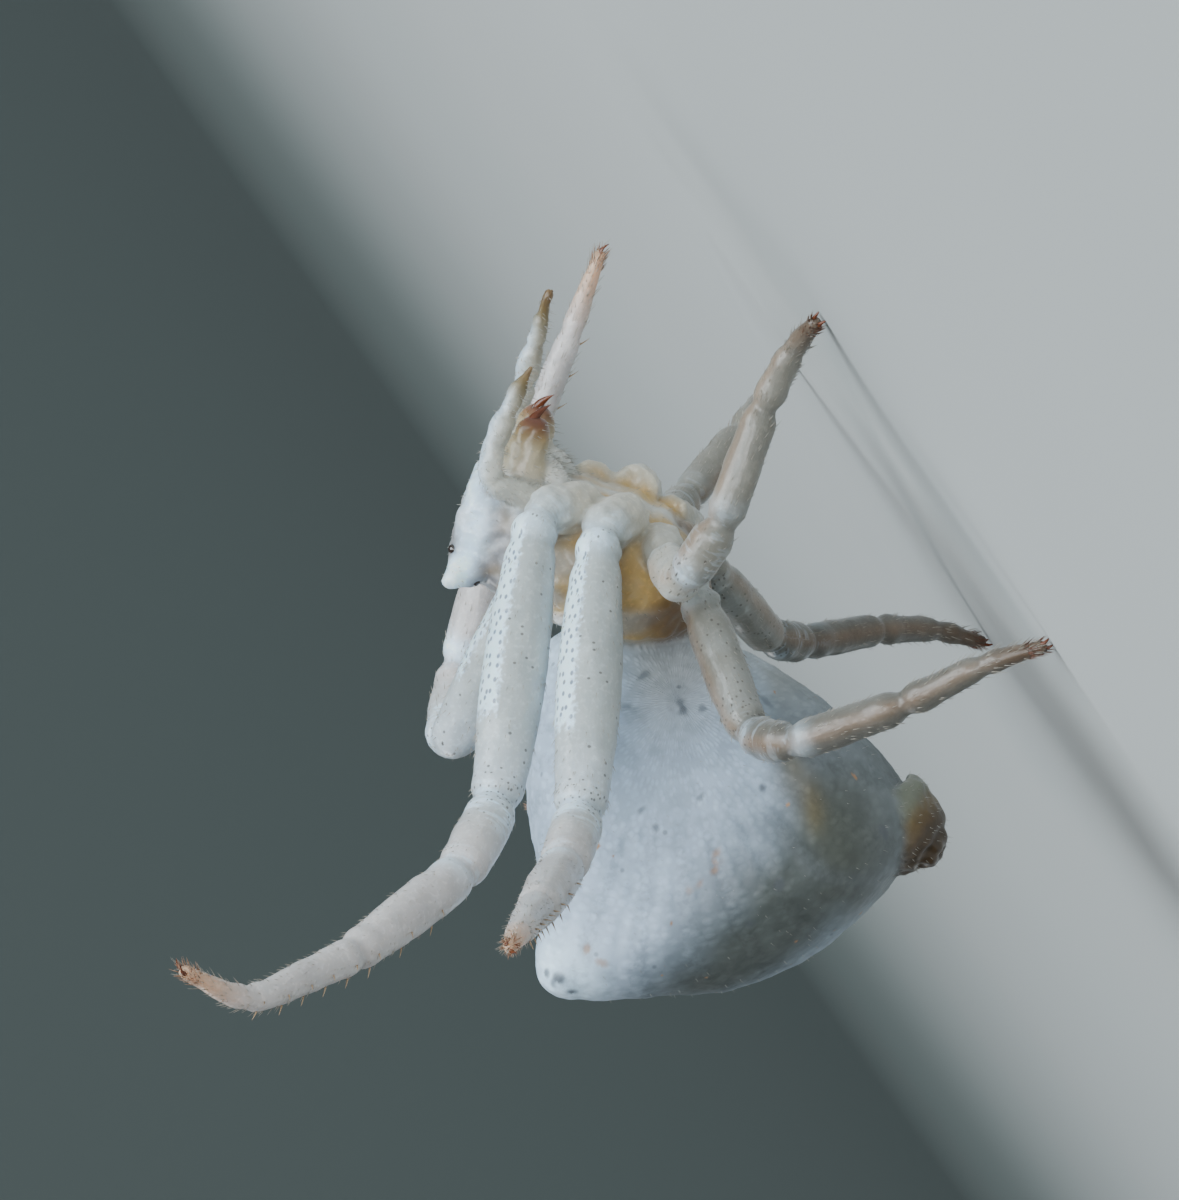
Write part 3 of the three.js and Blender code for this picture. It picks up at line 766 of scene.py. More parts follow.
# Where those of the abdomen change: the slope of the painted shade towards its rear, a streak, a pale
# crescent, the hump tips
REAR_SHADE_TILT = [0.75, -0.45]
REAR_SHADE_START = 2.9
STREAK_HEIGHT = [-1.62, 0.14]
CRESCENT_MIDDLE = [0, 3.2, -2.3]
CRESCENT_REACH = [0.95, 0.12]
HUMP_TIP = [2.75, 3.80, 2.25]
LEFT_MARKS_SHIFT = np.array([0, 0.11, -0.09])


def mixed(base, colour, share):
    share = np.clip(share, 0, 1)[:, None]
    return base * (1 - share) + colour * share


def between(first, second, share):
    return first * (1 - share) + second * share


def layered(base, count, layers):
    """A colour for each of so many points: the base, with each layer's colour mixed over it by its shares."""
    tone = np.tile(base, (count, 1))
    for colour, share in layers:
        tone = mixed(tone, colour, share)
    return tone


def front_tone(places):
    """Colours of the front body: milky face and horns, ochre sides, and painted shade in dark brown at the
    waist.
    """
    x, y, z = to_front(places).T
    wide = np.abs(x)
    cloud = soft_noise(places, 0.45, 1)
    rear = smooth_step(*FACE_TO_SIDES, y + 0.15 * cloud)
    upper = smooth_step(*BAND_START, y) * smooth_step(*BAND_RISE, z)
    band = bump_at(wide + 0.08 * cloud, *BAND_ACROSS) * upper
    layers = [
        (PINK * 0.58, 0.7 * smooth_step(-0.3, 0.8, cloud)),
        (CHALK * 0.85, 0.45 * smooth_step(0.2, 0.9, soft_noise(places, 0.15, 11))),
        (OCHRE * 0.4, 0.55 * smooth_step(0.2, 0.8, soft_noise(places, 0.17, 12))),
        (OCHRE, 0.85 * rear * smooth_step(0.15, -0.15, z)),
        (CREAM, 0.8 * rear * smooth_step(-0.15, 0.15, z)),
        (OCHRE * 0.45, 0.7 * band),
        (MILKY, 0.5 * rear * smooth_step(0.2, 1.0, cloud)),
        # Painted shade at the waist, where the front body meets the abdomen
        (BROWN * 1.4, 0.9 * smooth_step(*WAIST_SHADE, y + 0.1 * cloud)),
        (CHALK, smooth_step(*HORN_ACROSS, wide) * smooth_step(*HORN_AHEAD, y)),
        (CHALK, smooth_step(*CLYPEUS_AHEAD, y) * smooth_step(*CLYPEUS_DOWN, z)),
    ]
    for _, centre, radius in eye_places():
        away = np.linalg.norm(places - centre, axis=1)
        layers.append((SMOKE * 1.5, 0.85 * bump_at(away, radius + 0.02, 0.05)))
    return layered(between(MILKY * 0.46, PINK * 0.52, 0.5), len(places), layers)


def belly_tone(places):
    """Colours of the abdomen: white with a blue cast that is in part painted sky light, greyer below, and
    painted shade in grey olive over the rear flanks towards the spinnerets.
    """
    local = to_abdomen(places)
    x, y, z = local.T
    cloud = soft_noise(places, 0.5, 2)
    # Painted shade: the tone turns dark grey olive along a slope back and down, then fades again at the very
    # rear
    into_rear_shade = REAR_SHADE_TILT[0] * (y - REAR_SHADE_START) + REAR_SHADE_TILT[1] * z + 0.06 * cloud
    dark = 0.92 * smooth_step(-0.1, 1.05, into_rear_shade) * smooth_step(3.2, 1.7, into_rear_shade)
    band = bump_at(z + 0.05 * cloud, *STREAK_HEIGHT) * smooth_step(1.7, 2.1, y) * smooth_step(3.4, 2.9, y)
    patch = bump_at(np.linalg.norm((local - CRESCENT_MIDDLE)[:, 1:], axis=1), *CRESCENT_REACH)
    layers = [
        (VENTER, 0.75 * smooth_step(-1.20, -1.75, z + 0.12 * cloud)),
        # Painted shade on the rear flanks, weaker near the middle line
        (REAR_SHADE_OLIVE, dark * (1 - 0.5 * smooth_step(1.8, 0.5, np.abs(x)))),
        (OLIVE * 1.5, 0.5 * band),
        (CREAM * 0.95, 0.4 * smooth_step(1.7, 0.4, y) * smooth_step(0.4, -0.3, z)),
        (MILKY * 0.35, 0.35 * patch),
    ]
    for side in (-1, 1):
        tip = np.linalg.norm(local - mirrored(HUMP_TIP, side), axis=1)
        layers.append((CHALK, 0.95 * smooth_step(1.0, 0.35, tip)))
    layers.append((CHALK, 0.5 * smooth_step(0.4, -0.3, y) * smooth_step(0.2, 0.8, z)))
    return layered(BELLY, len(places), layers)


def add_belly_marks(tone, places):
    """Smudges, stains and the hollows of the back, alike on both sides but not quite."""
    local = to_abdomen(places)
    ragged = 1 + 0.45 * soft_noise(places, 0.09, 3)
    for side, shift in ((-1, np.zeros(3)), (1, LEFT_MARKS_SHIFT)):
        for marks, colour in ((SMUDGES, SMOKE), (STAINS, ORANGE * 0.8)):
            for place, radius, strength in marks:
                away = np.linalg.norm(local - mirrored(place, -side) - shift, axis=1)
                tone = mixed(tone, colour, strength * smooth_step(1.3, 0.4, away / (radius * ragged)))
    for away, top in hollow_distances(local):
        tone = mixed(tone, OCHRE * 0.5, 0.6 * top * smooth_step(1.1, 0.3, away / HOLLOW_RADIUS))
    return tone


def hollow_distances(local):
    """For each hollow of the abdomen's back: how far off it each place is, and which places are on top."""
    top = smooth_step(0.5, 1.0, local[:, 2])
    for across, back in HOLLOWS:
        for side in (-1, 1):
            yield np.hypot(local[:, 0] - side * across, local[:, 1] - back), top


def leg_tone(walked, angle, shape, pair, places):
    """Colours of a leg: glassy, pinker past the knee, white at the joints, orange or brown at the tip, with
    painted shade on the hind legs.
    """
    edges = shape["edges"]
    stops = shape["stops"]
    cloud = soft_noise(places, 0.35, 4)
    stout = pair < 3
    layers = [
        (CREAM * 0.95, 0.7 * smooth_step(edges[1], edges[1] - 0.6, walked)),
        (PINK, 0.7 * smooth_step(edges[2] - 0.2, edges[3], walked)),
        (MILKY, 0.5 * bump_at(walked, edges[2] - 0.35, 0.55)),
    ]
    if not stout:
        keel = smooth_step(0.88, 0.99, np.abs(np.cos(angle)))
        # Painted shade over the whole hind leg, and more past the knee
        thigh, beyond = HIND_LEG_SHADE_SHARES[pair]
        layers += [
            (HIND_LEG_SHADE * thigh, 0.85 + 0.15 * cloud),
            (HIND_LEG_SHADE * beyond, 0.85 * smooth_step(edges[2] - 0.2, edges[2] + 0.2, walked)),
            (ORANGE * 0.6, 0.35 * keel * smooth_step(edges[1], edges[1] + 0.4, walked)),
        ]
    width, strength = (0.22, 0.85) if stout else (0.12, 0.3)
    for edge in edges[1:4]:
        patch = bump_at(walked, edge + 0.20, width) * (0.55 + 0.45 * np.cos(angle)) * (0.8 + 0.4 * cloud)
        layers.append((CHALK, strength * patch))
    tip, strength = (ORANGE, 0.75) if stout else (BROWN, 0.70)
    layers.append((tip, strength * smooth_step(stops[5] - 0.15, stops[6] - 0.25, walked)))
    return layered(GLASSY, len(walked), layers)


def palp_tone(places, out, side_name):
    """Colours of a feeler: a white front, glassy sides, and an olive-brown tip."""
    line, walked, _ = bent_line(from_front(PALP_PATHS[side_name]))
    gaps = np.linalg.norm(places[:, None] - line[None, ::4], axis=2)
    share = walked[::4][gaps.argmin(1)] / walked[-1]
    ahead = -(out @ FRONT_TURN)[:, 1]
    return layered(between(GLASSY, CREAM, 0.4), len(places), [
        (CHALK * 0.72, 0.8 * smooth_step(0.1, 0.3, share) * smooth_step(0.15, 0.65, ahead)),
        (OLIVE, 0.55 * smooth_step(0.45, 0.8, share) * smooth_step(0.3, -0.3, ahead)),
        (OLIVE, 0.95 * smooth_step(0.76, 0.90, share)),
        (BROWN * 1.3, 0.7 * smooth_step(0.88, 0.98, share)),
    ])


def jaw_tone(places):
    """Colours of a jaw: cream with an olive streak on each side, and a red-brown tip."""
    x, _, z = to_front(places).T
    return layered(CREAM * 0.92, len(places), [
        (MILKY, 0.5 * smooth_step(-1.75, -1.45, z)),
        (OLIVE * 1.6, 0.55 * bump_at(np.abs(x), 0.50, 0.14) * smooth_step(-1.45, -1.95, z)),
        (OCHRE * 0.5, 0.7 * smooth_step(-1.98, -2.20, z)),
        (RED_BROWN, smooth_step(-2.12, -2.36, z)),
    ])


def spinneret_tone(places):
    """A grey collar, then brown with an ochre edge."""
    beyond = (to_abdomen(places) - SPINNERET_BASE) @ unit(SPINNERET_LEAN)
    # The grey collar is the rear's painted shade colour, made lighter
    return layered(REAR_SHADE_OLIVE * 1.9, len(places), [
        (OCHRE * 0.22, smooth_step(0.05, 0.18, beyond)),
        (BROWN * 0.5, 0.9 * smooth_step(0.20, 0.40, beyond)),
    ])


def stripe_strength(walked, angle, shape, pair):
    """Above nought where the white dashed stripe of a thigh is, and below nought elsewhere."""
    if pair > 2:
        return np.full(len(walked), -1.0)
    start, end = shape["edges"][1] + 0.12, shape["edges"][2]
    last = start + 0.74 * (end - start)
    across = np.cos(angle) - math.cos(math.radians(54))
    ends = np.minimum((walked - start) / 0.6, (last - walked) / 1.3)
    return np.clip(np.minimum(across, ends), -1, 1)


def speck_strength(walked, shape, pair):
    """How thickly a leg is strewn with dark specks: most at the knee, some along the thigh."""
    edges = shape["edges"]
    knee = bump_at(walked, edges[2] + 0.05, 0.32)
    thigh = smooth_step(edges[1], edges[1] + 0.3, walked) * smooth_step(edges[2] + 0.4, edges[2], walked)
    hip = bump_at(walked, edges[1] + 0.15, 0.12)
    return np.clip(0.42 * knee + 0.2 * hip + (0.16 if pair == 4 else 0.03) * thigh, 0, 1)


def wrinkle_strength(walked, shape, pair):
    """Where the skin of a leg is wrinkled: at the knee, and a little at each other bend."""
    edges = shape["edges"]
    knee = bump_at(walked, edges[2] + 0.28, 0.40)
    others = 0.5 * bump_at(walked, edges[3], 0.25) + 0.4 * bump_at(walked, edges[1], 0.3)
    return np.clip(knee + others, 0, 1) * (1.0 if pair < 3 else 0.4)


# The skin

def part_tone(name, places, out):
    """The colours of every part but the legs, before they are blended into each other."""
    if name == "abdomen":
        return belly_tone(places)
    if name.startswith("spinneret"):
        return spinneret_tone(places)
    if name.startswith("palp"):
        return palp_tone(places, out, name.split("_")[1])
    if name.startswith("chelicera"):
        return jaw_tone(places)
    # The waist stalk is painted dark brown, as shade in the gap between the two body parts
    if name == "pedicel":
        return np.tile(BROWN, (len(places), 1))
    if name.startswith("lobe") or name in ("labium", "sternum"):
        return np.tile(between(CREAM, MILKY, 0.5), (len(places), 1))
    return front_tone(places)


def paint_skin(mesh, parts):
    """Gives each point of the skin its colour, marks and place along the limb; returns its part's name."""
    places = places_of(mesh)
    out = normals_of(mesh)
    owner = nearest_parts(places, parts)
    tone = np.zeros((len(places), 3))
    limb = np.zeros((len(places), 3))
    marks = np.tile([-1.0, 0.0, 0.0], (len(places), 1))
    for i, (name, _, _) in enumerate(parts):
        mine = owner == i
        some = places[mine]
        if name in LEGS:
            shape = LEGS[name]
            pair = int(name[-1])
            walked, angle = along_leg(some, shape)
            tone[mine] = leg_tone(walked, angle, shape, pair, some)
            limb[mine] = np.stack([walked, angle * 0.35, np.full(len(some), 0.0)], -1)
            marks[mine, 0] = stripe_strength(walked, angle, shape, pair)
            marks[mine, 1] = speck_strength(walked, shape, pair)
            marks[mine, 2] = wrinkle_strength(walked, shape, pair)
        else:
            tone[mine] = part_tone(name, some, out[mine])
    names = np.array([name for name, _, _ in parts])[owner]
    tone = spread(tone, edges_of(mesh), TONE_BLENDING)
    belly = names == "abdomen"
    tone[belly] = add_belly_marks(tone[belly], places[belly])
    colours = mesh.color_attributes.new("tone", "FLOAT_COLOR", "POINT")
    colours.data.foreach_set("color", np.column_stack([tone, np.ones(len(tone))]).astype(np.float32).ravel())
    for name, values in (("limb", limb), ("marks", marks), ("belly", to_abdomen(places))):
        attribute = mesh.attributes.new(name, "FLOAT_VECTOR", "POINT")
        attribute.data.foreach_set("vector", values.astype(np.float32).ravel())
    return names, limb[:, 0], marks[:, 2]


def belly_relief(places):
    """Heights on the abdomen: rows of small folds, wide soft dents, and the hollows of the back."""
    local = to_abdomen(places)
    back = local[:, 1] - FAN_CENTRE[0]
    up = local[:, 2] - FAN_CENTRE[1]
    reach = np.hypot(back, up)
    wave = np.cos(np.arctan2(back, up) * FAN_ROWS / 2 + 0.7 * np.sin(2.4 * reach))
    height = FAN_DEPTH * wave * smooth_step(1.0, 2.0, reach)
    height += 0.014 * soft_noise(places, 0.9, 5) + 0.004 * soft_noise(places, 0.12, 6)
    for away, top in hollow_distances(local):
        height -= HOLLOW_DEPTH * bump_at(away, 0, HOLLOW_RADIUS) * top
    return height


def front_relief(places):
    """Heights on the front body: furrows on its back, an uneven skin, and a rim round each eye."""
    x, y, z = to_front(places).T
    angle = np.degrees(np.arctan2(np.abs(x - FURROW_CENTRE[0]), y - FURROW_CENTRE[1]))
    reach = np.hypot(x, y - FURROW_CENTRE[1])
    height = 0.018 * soft_noise(places, 0.26, 7) + 0.009 * soft_noise(places, 0.11, 8)
    span = smooth_step(0.15, 0.4, reach) * smooth_step(1.5, 1.0, reach) * (z > -0.5)
    for furrow in FURROW_ANGLES:
        line = bump_at((angle - furrow) * math.pi / 180 * reach, 0, 0.10)
        height -= FURROW_DEPTH * line * span
    for _, centre, radius in eye_places():
        away = np.linalg.norm(places - centre, axis=1)
        height += EYE_RIM * bump_at(away, radius + 0.01, 0.06)
    return height


def leg_relief(places, walked, wrinkles):
    """Heights on the legs: an uneven skin, lumpy at the hip, and wrinkles across the bends."""
    uneven = soft_noise(places, 0.22, 9)
    waves = np.cos(2 * math.pi * (walked / WRINKLE_SPACING + 0.35 * uneven))
    lumps = smooth_step(1.5, 0.9, walked) * soft_noise(places, 0.13, 10)
    return 0.006 * uneven + 0.014 * lumps + 0.006 * wrinkles * waves


def carve_skin(mesh, names, walked, wrinkles):
    """Presses the small relief into the skin, and sets the feet flat on the floor."""
    places = places_of(mesh)
    out = normals_of(mesh)
    belly = names == "abdomen"
    leg = np.isin(names, list(LEGS))
    rest = ~(belly | leg)
    height = np.zeros(len(places))
    height[belly] = belly_relief(places[belly])
    height[leg] = leg_relief(places[leg], walked[leg], wrinkles[leg])
    height[rest] = front_relief(places[rest])
    height = spread(height[:, None], edges_of(mesh), 1)
    places = places + out * height
    places[:, 2] = np.maximum(places[:, 2], 0)
    set_places(mesh, places)


# Materials

class Nodes:
    """A short way to write a material's nodes."""

    def __init__(self, name):
        self.material = bpy.data.materials.new(name)
        self.material.use_nodes = True
        self.tree = self.material.node_tree
        self.shader = self.tree.nodes["Principled BSDF"]

    def set(self, socket, value):
        if isinstance(value, bpy.types.NodeSocket):
            self.tree.links.new(value, socket)
        else:
            socket.default_value = value

    def add(self, kind, inputs=(), **settings):
        """A new node with its settings, and with its inputs by name or number."""
        node = self.tree.nodes.new("ShaderNode" + kind)
        for key, value in settings.items():
            setattr(node, key, value)
        for key, value in dict(inputs).items():
            self.set(node.inputs[key], value)
        return node

    def surface(self, **inputs):
        for key, value in inputs.items():
            self.set(self.shader.inputs[key.replace("_", " ")], value)

    def maths(self, operation, first, second=0.0):
        return self.add("Math", {0: first, 1: second}, operation=operation).outputs[0]

    def times(self, first, second):
        return self.maths("MULTIPLY", first, second)

    def scaled(self, vector, by):
        return self.add("VectorMath", {0: vector, 1: by}, operation="MULTIPLY").outputs[0]

    def lighter(self, colour, by):
        return self.add("VectorMath", {0: colour, "Scale": by}, operation="SCALE").outputs[0]

    def ramp(self, value, low, high, from_value=0.0, to_value=1.0):
        inputs = {"Value": value, "From Min": low, "From Max": high, "To Min": from_value, "To Max": to_value}
        return self.add("MapRange", inputs, interpolation_type="SMOOTHSTEP").outputs["Result"]

    def mix(self, share, first, second):
        return self.add("Mix", {0: share, 6: first, 7: second}, data_type="RGBA").outputs[2]

    def attribute(self, name, kind="Vector"):
        return self.add("Attribute", attribute_name=name).outputs[kind]

    def apart(self, vector):
        return self.add("SeparateXYZ", {0: vector}).outputs

    def noise(self, vector, scale, detail=3.0):
        return self.add("TexNoise", {"Vector": vector, "Scale": scale, "Detail": detail}).outputs["Fac"]

    def cells(self, vector, scale, randomness=1.0, dimensions="3D"):
        inputs = {"Vector": vector, "Scale": scale, "Randomness": randomness}
        node = self.add("TexVoronoi", inputs, voronoi_dimensions=dimensions)
        return node.outputs["Distance"], node.outputs["Color"]

    def bump(self, height, distance, strength=1.0, under=None):
        inputs = {"Height": height, "Distance": distance, "Strength": strength}
        if under is not None:
            inputs["Normal"] = under
        return self.add("Bump", inputs).outputs["Normal"]

    def place(self):
        """Where a point is on its piece, in millimetres."""
        return self.scaled(self.add("TexCoord").outputs["Object"], (1 / MM, 1 / MM, 1 / MM))


def rgba(colour):
    return (*[float(c) for c in colour], 1.0)


def soft_flesh(nodes, weight, depth, radius, roughness):
    """Light that goes into the skin and out again near by."""
    nodes.surface(Subsurface_Weight=weight, Subsurface_Scale=depth * MM, Subsurface_Radius=radius)
    nodes.surface(Roughness=roughness, IOR=1.45)


def add_stripe(nodes, colour, limb, stripe, grain):
    """The white stripe of the thighs, with rows of small dark dashes in it."""
    ragged = nodes.maths("ADD", stripe, nodes.times(nodes.maths("SUBTRACT", grain, 0.5), 0.45))
    inside = nodes.ramp(ragged, -0.02, 0.20)
    colour = nodes.mix(inside, colour, rgba(CHALK))
    dash, _ = nodes.cells(nodes.scaled(limb, DASHES_PER_MM), 1.0, 0.8, "2D")
    dashes = nodes.times(nodes.ramp(dash, 0.28, 0.14), inside)
    return nodes.mix(nodes.times(dashes, 0.8), colour, rgba(DASH_COLOUR))


def add_specks(nodes, colour, limb, wanted):
    """Small dark specks of two sizes."""
    for scale, size in LEG_SPECKS:
        speck, speck_colour = nodes.cells(nodes.scaled(limb, (scale, scale, 0.0)), 1.0, 1.0, "2D")
        chosen = nodes.apart(speck_colour)[0]
        here = nodes.maths("GREATER_THAN", nodes.maths("ADD", chosen, wanted), 1.0)
        dark = nodes.times(nodes.ramp(speck, size, size * 0.5), here)
        colour = nodes.mix(nodes.times(dark, 0.75), colour, rgba(SPECK_COLOUR))
    return colour


def glassy_skin():
    """Front body, legs, jaws and feelers: see-through flesh, a white stripe with dark dashes, dark specks."""
    nodes = Nodes("glassy_skin")
    place = nodes.place()
    limb = nodes.attribute("limb")
    stripe, specks, wrinkles = nodes.apart(nodes.attribute("marks"))
    cloud = nodes.noise(place, 1.8, 4.0)
    grain = nodes.noise(place, 14.0)
    colour = nodes.lighter(nodes.attribute("tone", "Color"), nodes.ramp(cloud, 0.40, 0.72, 0.94, 1.12))
    colour = nodes.lighter(colour, nodes.ramp(grain, 0.50, 0.70, 0.97, 1.14))
    lines = nodes.noise(nodes.scaled(limb, (11.0, 2.2, 0.0)), 1.0, 2.0)
    pale = nodes.times(nodes.ramp(lines, 0.52, 0.62), wrinkles)
    colour = nodes.mix(nodes.times(pale, 0.6), colour, rgba(CHALK))
    colour = add_stripe(nodes, colour, limb, stripe, grain)
    colour = add_specks(nodes, colour, limb, specks)
    lumps = nodes.bump(nodes.noise(place, 6.0, 2.0), 0.016 * MM, 0.7)
    fine = nodes.bump(grain, 0.006 * MM, 0.8, lumps)
    folds = nodes.noise(nodes.scaled(limb, (3.0, 16.0, 0.0)), 1.6, 2.0)
    along = nodes.bump(folds, 0.007 * MM, 0.6, fine)
    normal = nodes.bump(nodes.times(lines, wrinkles), 0.02 * MM, 0.8, along)
    nodes.surface(Base_Color=colour, Normal=normal, Coat_Weight=0.25, Coat_Roughness=0.12)
    nodes.surface(Sheen_Weight=0.12, Sheen_Roughness=0.5)
    soft_flesh(nodes, 1.0, 0.30, (1.0, 0.85, 0.72), 0.34)
    return nodes.material


def belly_rows(nodes):
    """Rows of small beads that fan out over the abdomen, and the wider bands that they are grouped in."""
    across, back, up = nodes.apart(nodes.attribute("belly"))
    away_back = nodes.maths("SUBTRACT", back, float(FAN_CENTRE[0]))
    away_up = nodes.maths("SUBTRACT", up, float(FAN_CENTRE[1]))
    fan = nodes.maths("ARCTAN2", away_back, away_up)
    square = nodes.maths("ADD", nodes.times(away_back, away_back), nodes.times(away_up, away_up))
    reach = nodes.maths("SQRT", square)
    row = nodes.times(fan, FAN_ROWS / (2 * math.pi))
    along = nodes.times(reach, 1 / BEAD_SPACING)
    beside = nodes.times(across, 0.5 / BEAD_SPACING)
    bead, _ = nodes.cells(nodes.add("CombineXYZ", {0: row, 1: along, 2: beside}).outputs[0], 1.0, 0.6)
    wave = nodes.maths("SINE", nodes.times(fan, BAND_COUNT))
    bands = nodes.times(nodes.ramp(wave, -0.2, 0.9), nodes.ramp(reach, 1.0, 2.2))
    return nodes.ramp(bead, 0.60, 0.15), bands


def belly_skin():
    """The abdomen: smooth chalky skin with faint rows of small beads, clouds and a few specks."""
    nodes = Nodes("belly_skin")
    place = nodes.place()
    beads, bands = belly_rows(nodes)
    cloud = nodes.noise(place, 0.9, 4.0)
    mottle = nodes.noise(place, 3.6)
    grain = nodes.noise(place, 12.0)
    dotted = nodes.times(bands, nodes.ramp(grain, 0.40, 0.60))
    colour = nodes.attribute("tone", "Color")
    for value, *span in (
        (cloud, 0.40, 0.75, 0.94, 1.12),
        (mottle, 0.40, 0.64, 1.04, 0.86),
        (dotted, 0.0, 1.0, 1.0, 0.88),
        (beads, 0.0, 1.0, 0.90, 1.02),
    ):
        colour = nodes.lighter(colour, nodes.ramp(value, *span))
    speck, speck_colour = nodes.cells(place, 2.6)
    chosen = nodes.apart(speck_colour)[0]
    smudge = nodes.times(nodes.ramp(speck, 0.12, 0.05), nodes.maths("GREATER_THAN", chosen, 0.6))
    colour = nodes.mix(nodes.times(smudge, 0.45), colour, rgba(SMOKE))
    normal = nodes.bump(beads, 0.007 * MM, 0.8, nodes.bump(grain, 0.006 * MM, 0.7))
    nodes.surface(Base_Color=colour, Normal=normal)
    soft_flesh(nodes, 0.5, 0.16, (1.0, 0.95, 0.9), 0.5)
    return nodes.material


def mottled(name, scale, colours, **surface):
    """A material in small clouds of a dark and a pale colour."""
    nodes = Nodes(name)
    place = nodes.place()
    dark, pale = colours
    nodes.surface(Base_Color=nodes.mix(nodes.noise(place, scale), rgba(dark), rgba(pale)), **surface)
    return nodes, place


def eye_material():
    nodes, _ = mottled("eye_glass", 9.0, EYE_COLOURS, Roughness=0.08, Coat_Weight=1.0, Coat_Roughness=0.03)
    return nodes.material


def claw_material():
    nodes, place = mottled("claw_horn", 6.0, HORN_COLOURS, Roughness=0.25)
    nodes.surface(Normal=nodes.bump(nodes.noise(place, 30.0), 0.003 * MM))
    return nodes.material


# The pieces

def finish_piece(obj, replaced=()):
    """Turns a piece's mesh from millimetres to metres, shades it smooth, hangs it on the root, and hides the
    solids that it takes the place of.
    """
    set_places(obj.data, places_of(obj.data) * MM)
    shade_smooth(obj.data)
    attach(obj, "root")
    if replaced:
        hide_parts(*replaced)


def build_skin():
    """The skin in one piece; returns its points, the ways out of it, and the part that each point is on."""
    parts = flesh()
    skin = fused_skin(parts)
    mesh = skin.data
    names, walked, wrinkles = paint_skin(mesh, parts)
    carve_skin(mesh, names, walked, wrinkles)
    mesh.materials.clear()
    mesh.materials.append(glassy_skin())
    mesh.materials.append(belly_skin())
    first_corners = numbers_of(mesh.polygons, "loop_start", 1)[:, 0]
    on_belly = (names == "abdomen")[corners_of(mesh)[first_corners]]
    mesh.polygons.foreach_set("material_index", on_belly.astype(np.int32))
    set_places(mesh, places_of(mesh) + SHIFT)
    surface = {"places": places_of(mesh), "out": normals_of(mesh), "names": names}
    kept = ("eye_", "fang_")
    finish_piece(skin, [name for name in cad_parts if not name.startswith(kept)])
    return surface


def add_piece(name, shape, material, replaced=()):
    obj = new_object(name, *shape)
    obj.data.materials.append(material)
    finish_piece(obj, replaced)


def build_eyes():
    material = eye_material()
    for name, centre, radius in eye_places():
        add_piece(name + "_lens", ball(centre + SHIFT, [radius] * 3), material, [name])


def curved_cone(start, way, bend, length, radius, sides=10, steps=10):
    t = np.linspace(0, 1, steps)
    line = start + unit(way) * (t * length)[:, None] + np.asarray(bend) * (t ** 2 * length)[:, None]
    return tube(line, radius * np.maximum(1 - t ** 1.5, 0.06), sides)


def build_fangs(material):
    for side_name, side in (("right", -1), ("left", 1)):
        tip = from_front(mirrored(CHELICERA_TIP, side)) + SHIFT
        way = mirrored(FANG_WAY, side) @ FRONT_TURN.T
        bend = FANG_BEND @ FRONT_TURN.T
        root = tip - unit(way) * FANG_SUNK
        shape = curved_cone(root, way, bend, FANG_LENGTH + FANG_SUNK, FANG_RADIUS, 14, 16)
        add_piece("fang_horn_" + side_name, shape, material, ["fang_" + side_name])


def build_claws(material):
    """Two small curved claws at the tip of each leg."""
    pieces = []
    for shape in LEGS.values():
        tip = shape["line"][-1] + SHIFT
        ahead = shape["along"][-1]
        across = unit(np.cross([0, 0, 1], ahead))
        down = -np.cross(ahead, across)
        for side in (-1, 1):
            root = tip - ahead * CLAW_SUNK + across * side * CLAW_GAP
            way = ahead + down * -0.2 + across * side * 0.2
            pieces.append(curved_cone(root, way, down * 0.6, CLAW_LENGTH, CLAW_WIDTH))
    points, faces = joined(pieces)
    points[:, 2] = np.maximum(points[:, 2], LOWEST_CLAW)
    add_piece("claws", (points, faces), material)


# Bristles

def bristles(roots, ways, lean, lengths, widths, spots, random):
    """Many short tapered bristles in one mesh, each with its own small patch on the bake map."""
    sides, steps = 3, 4
    t = np.linspace(0, 1, steps)
    count = len(roots)
    ahead = unit(ways)
    helper = unit(random.normal(size=(count, 3)))
    across = unit(np.cross(ahead, helper))
    up = np.cross(ahead, across)
    line = roots[:, None] + ahead[:, None] * (t * lengths[:, None])[..., None]
    line = line + lean[:, None] * (t ** 2 * lengths[:, None])[..., None]
    out = circles(across, up, sides)
    radius = widths[:, None] / 2 * np.maximum(1 - t ** 1.4, 0.08)[None]
    points = line[:, :, None] + out[:, None] * radius[..., None, None]
    ring = np.arange(sides)
    quads = []
    for step in range(steps - 1):
        for k in ring:
            n = (k + 1) % sides
            quads.append([step * sides + k, step * sides + n, (step + 1) * sides + n, (step + 1) * sides + k])
    quads = np.array(quads)
    ends = np.array([[2, 1, 0], [(steps - 1) * sides, (steps - 1) * sides + 1, (steps - 1) * sides + 2]])
    each = sides * steps
    faces = (quads[None] + np.arange(count)[:, None, None] * each).reshape(-1, 4).tolist()
    faces += (ends[None] + np.arange(count)[:, None, None] * each).reshape(-1, 3).tolist()
    u = spots[:, None, None, 0] + BAKE_PATCH * np.broadcast_to(ring / sides, (count, steps, sides))
    v = spots[:, None, None, 1] + BAKE_PATCH * np.broadcast_to(t[:, None], (count, steps, sides))
    return points.reshape(-1, 3), faces, np.stack([u, v], -1).reshape(-1, 2)


def bake_spot(row, share, angle):
    """A place on the unwrap of the skin: a row for each limb or body part, along it, and round it."""
    u = 0.02 + 0.95 * np.clip(share, 0, 1)
    v = (row + 0.1 + 0.8 * (angle / (2 * np.pi) % 1)) / BAKE_ROWS
    return np.stack([u, v], -1)


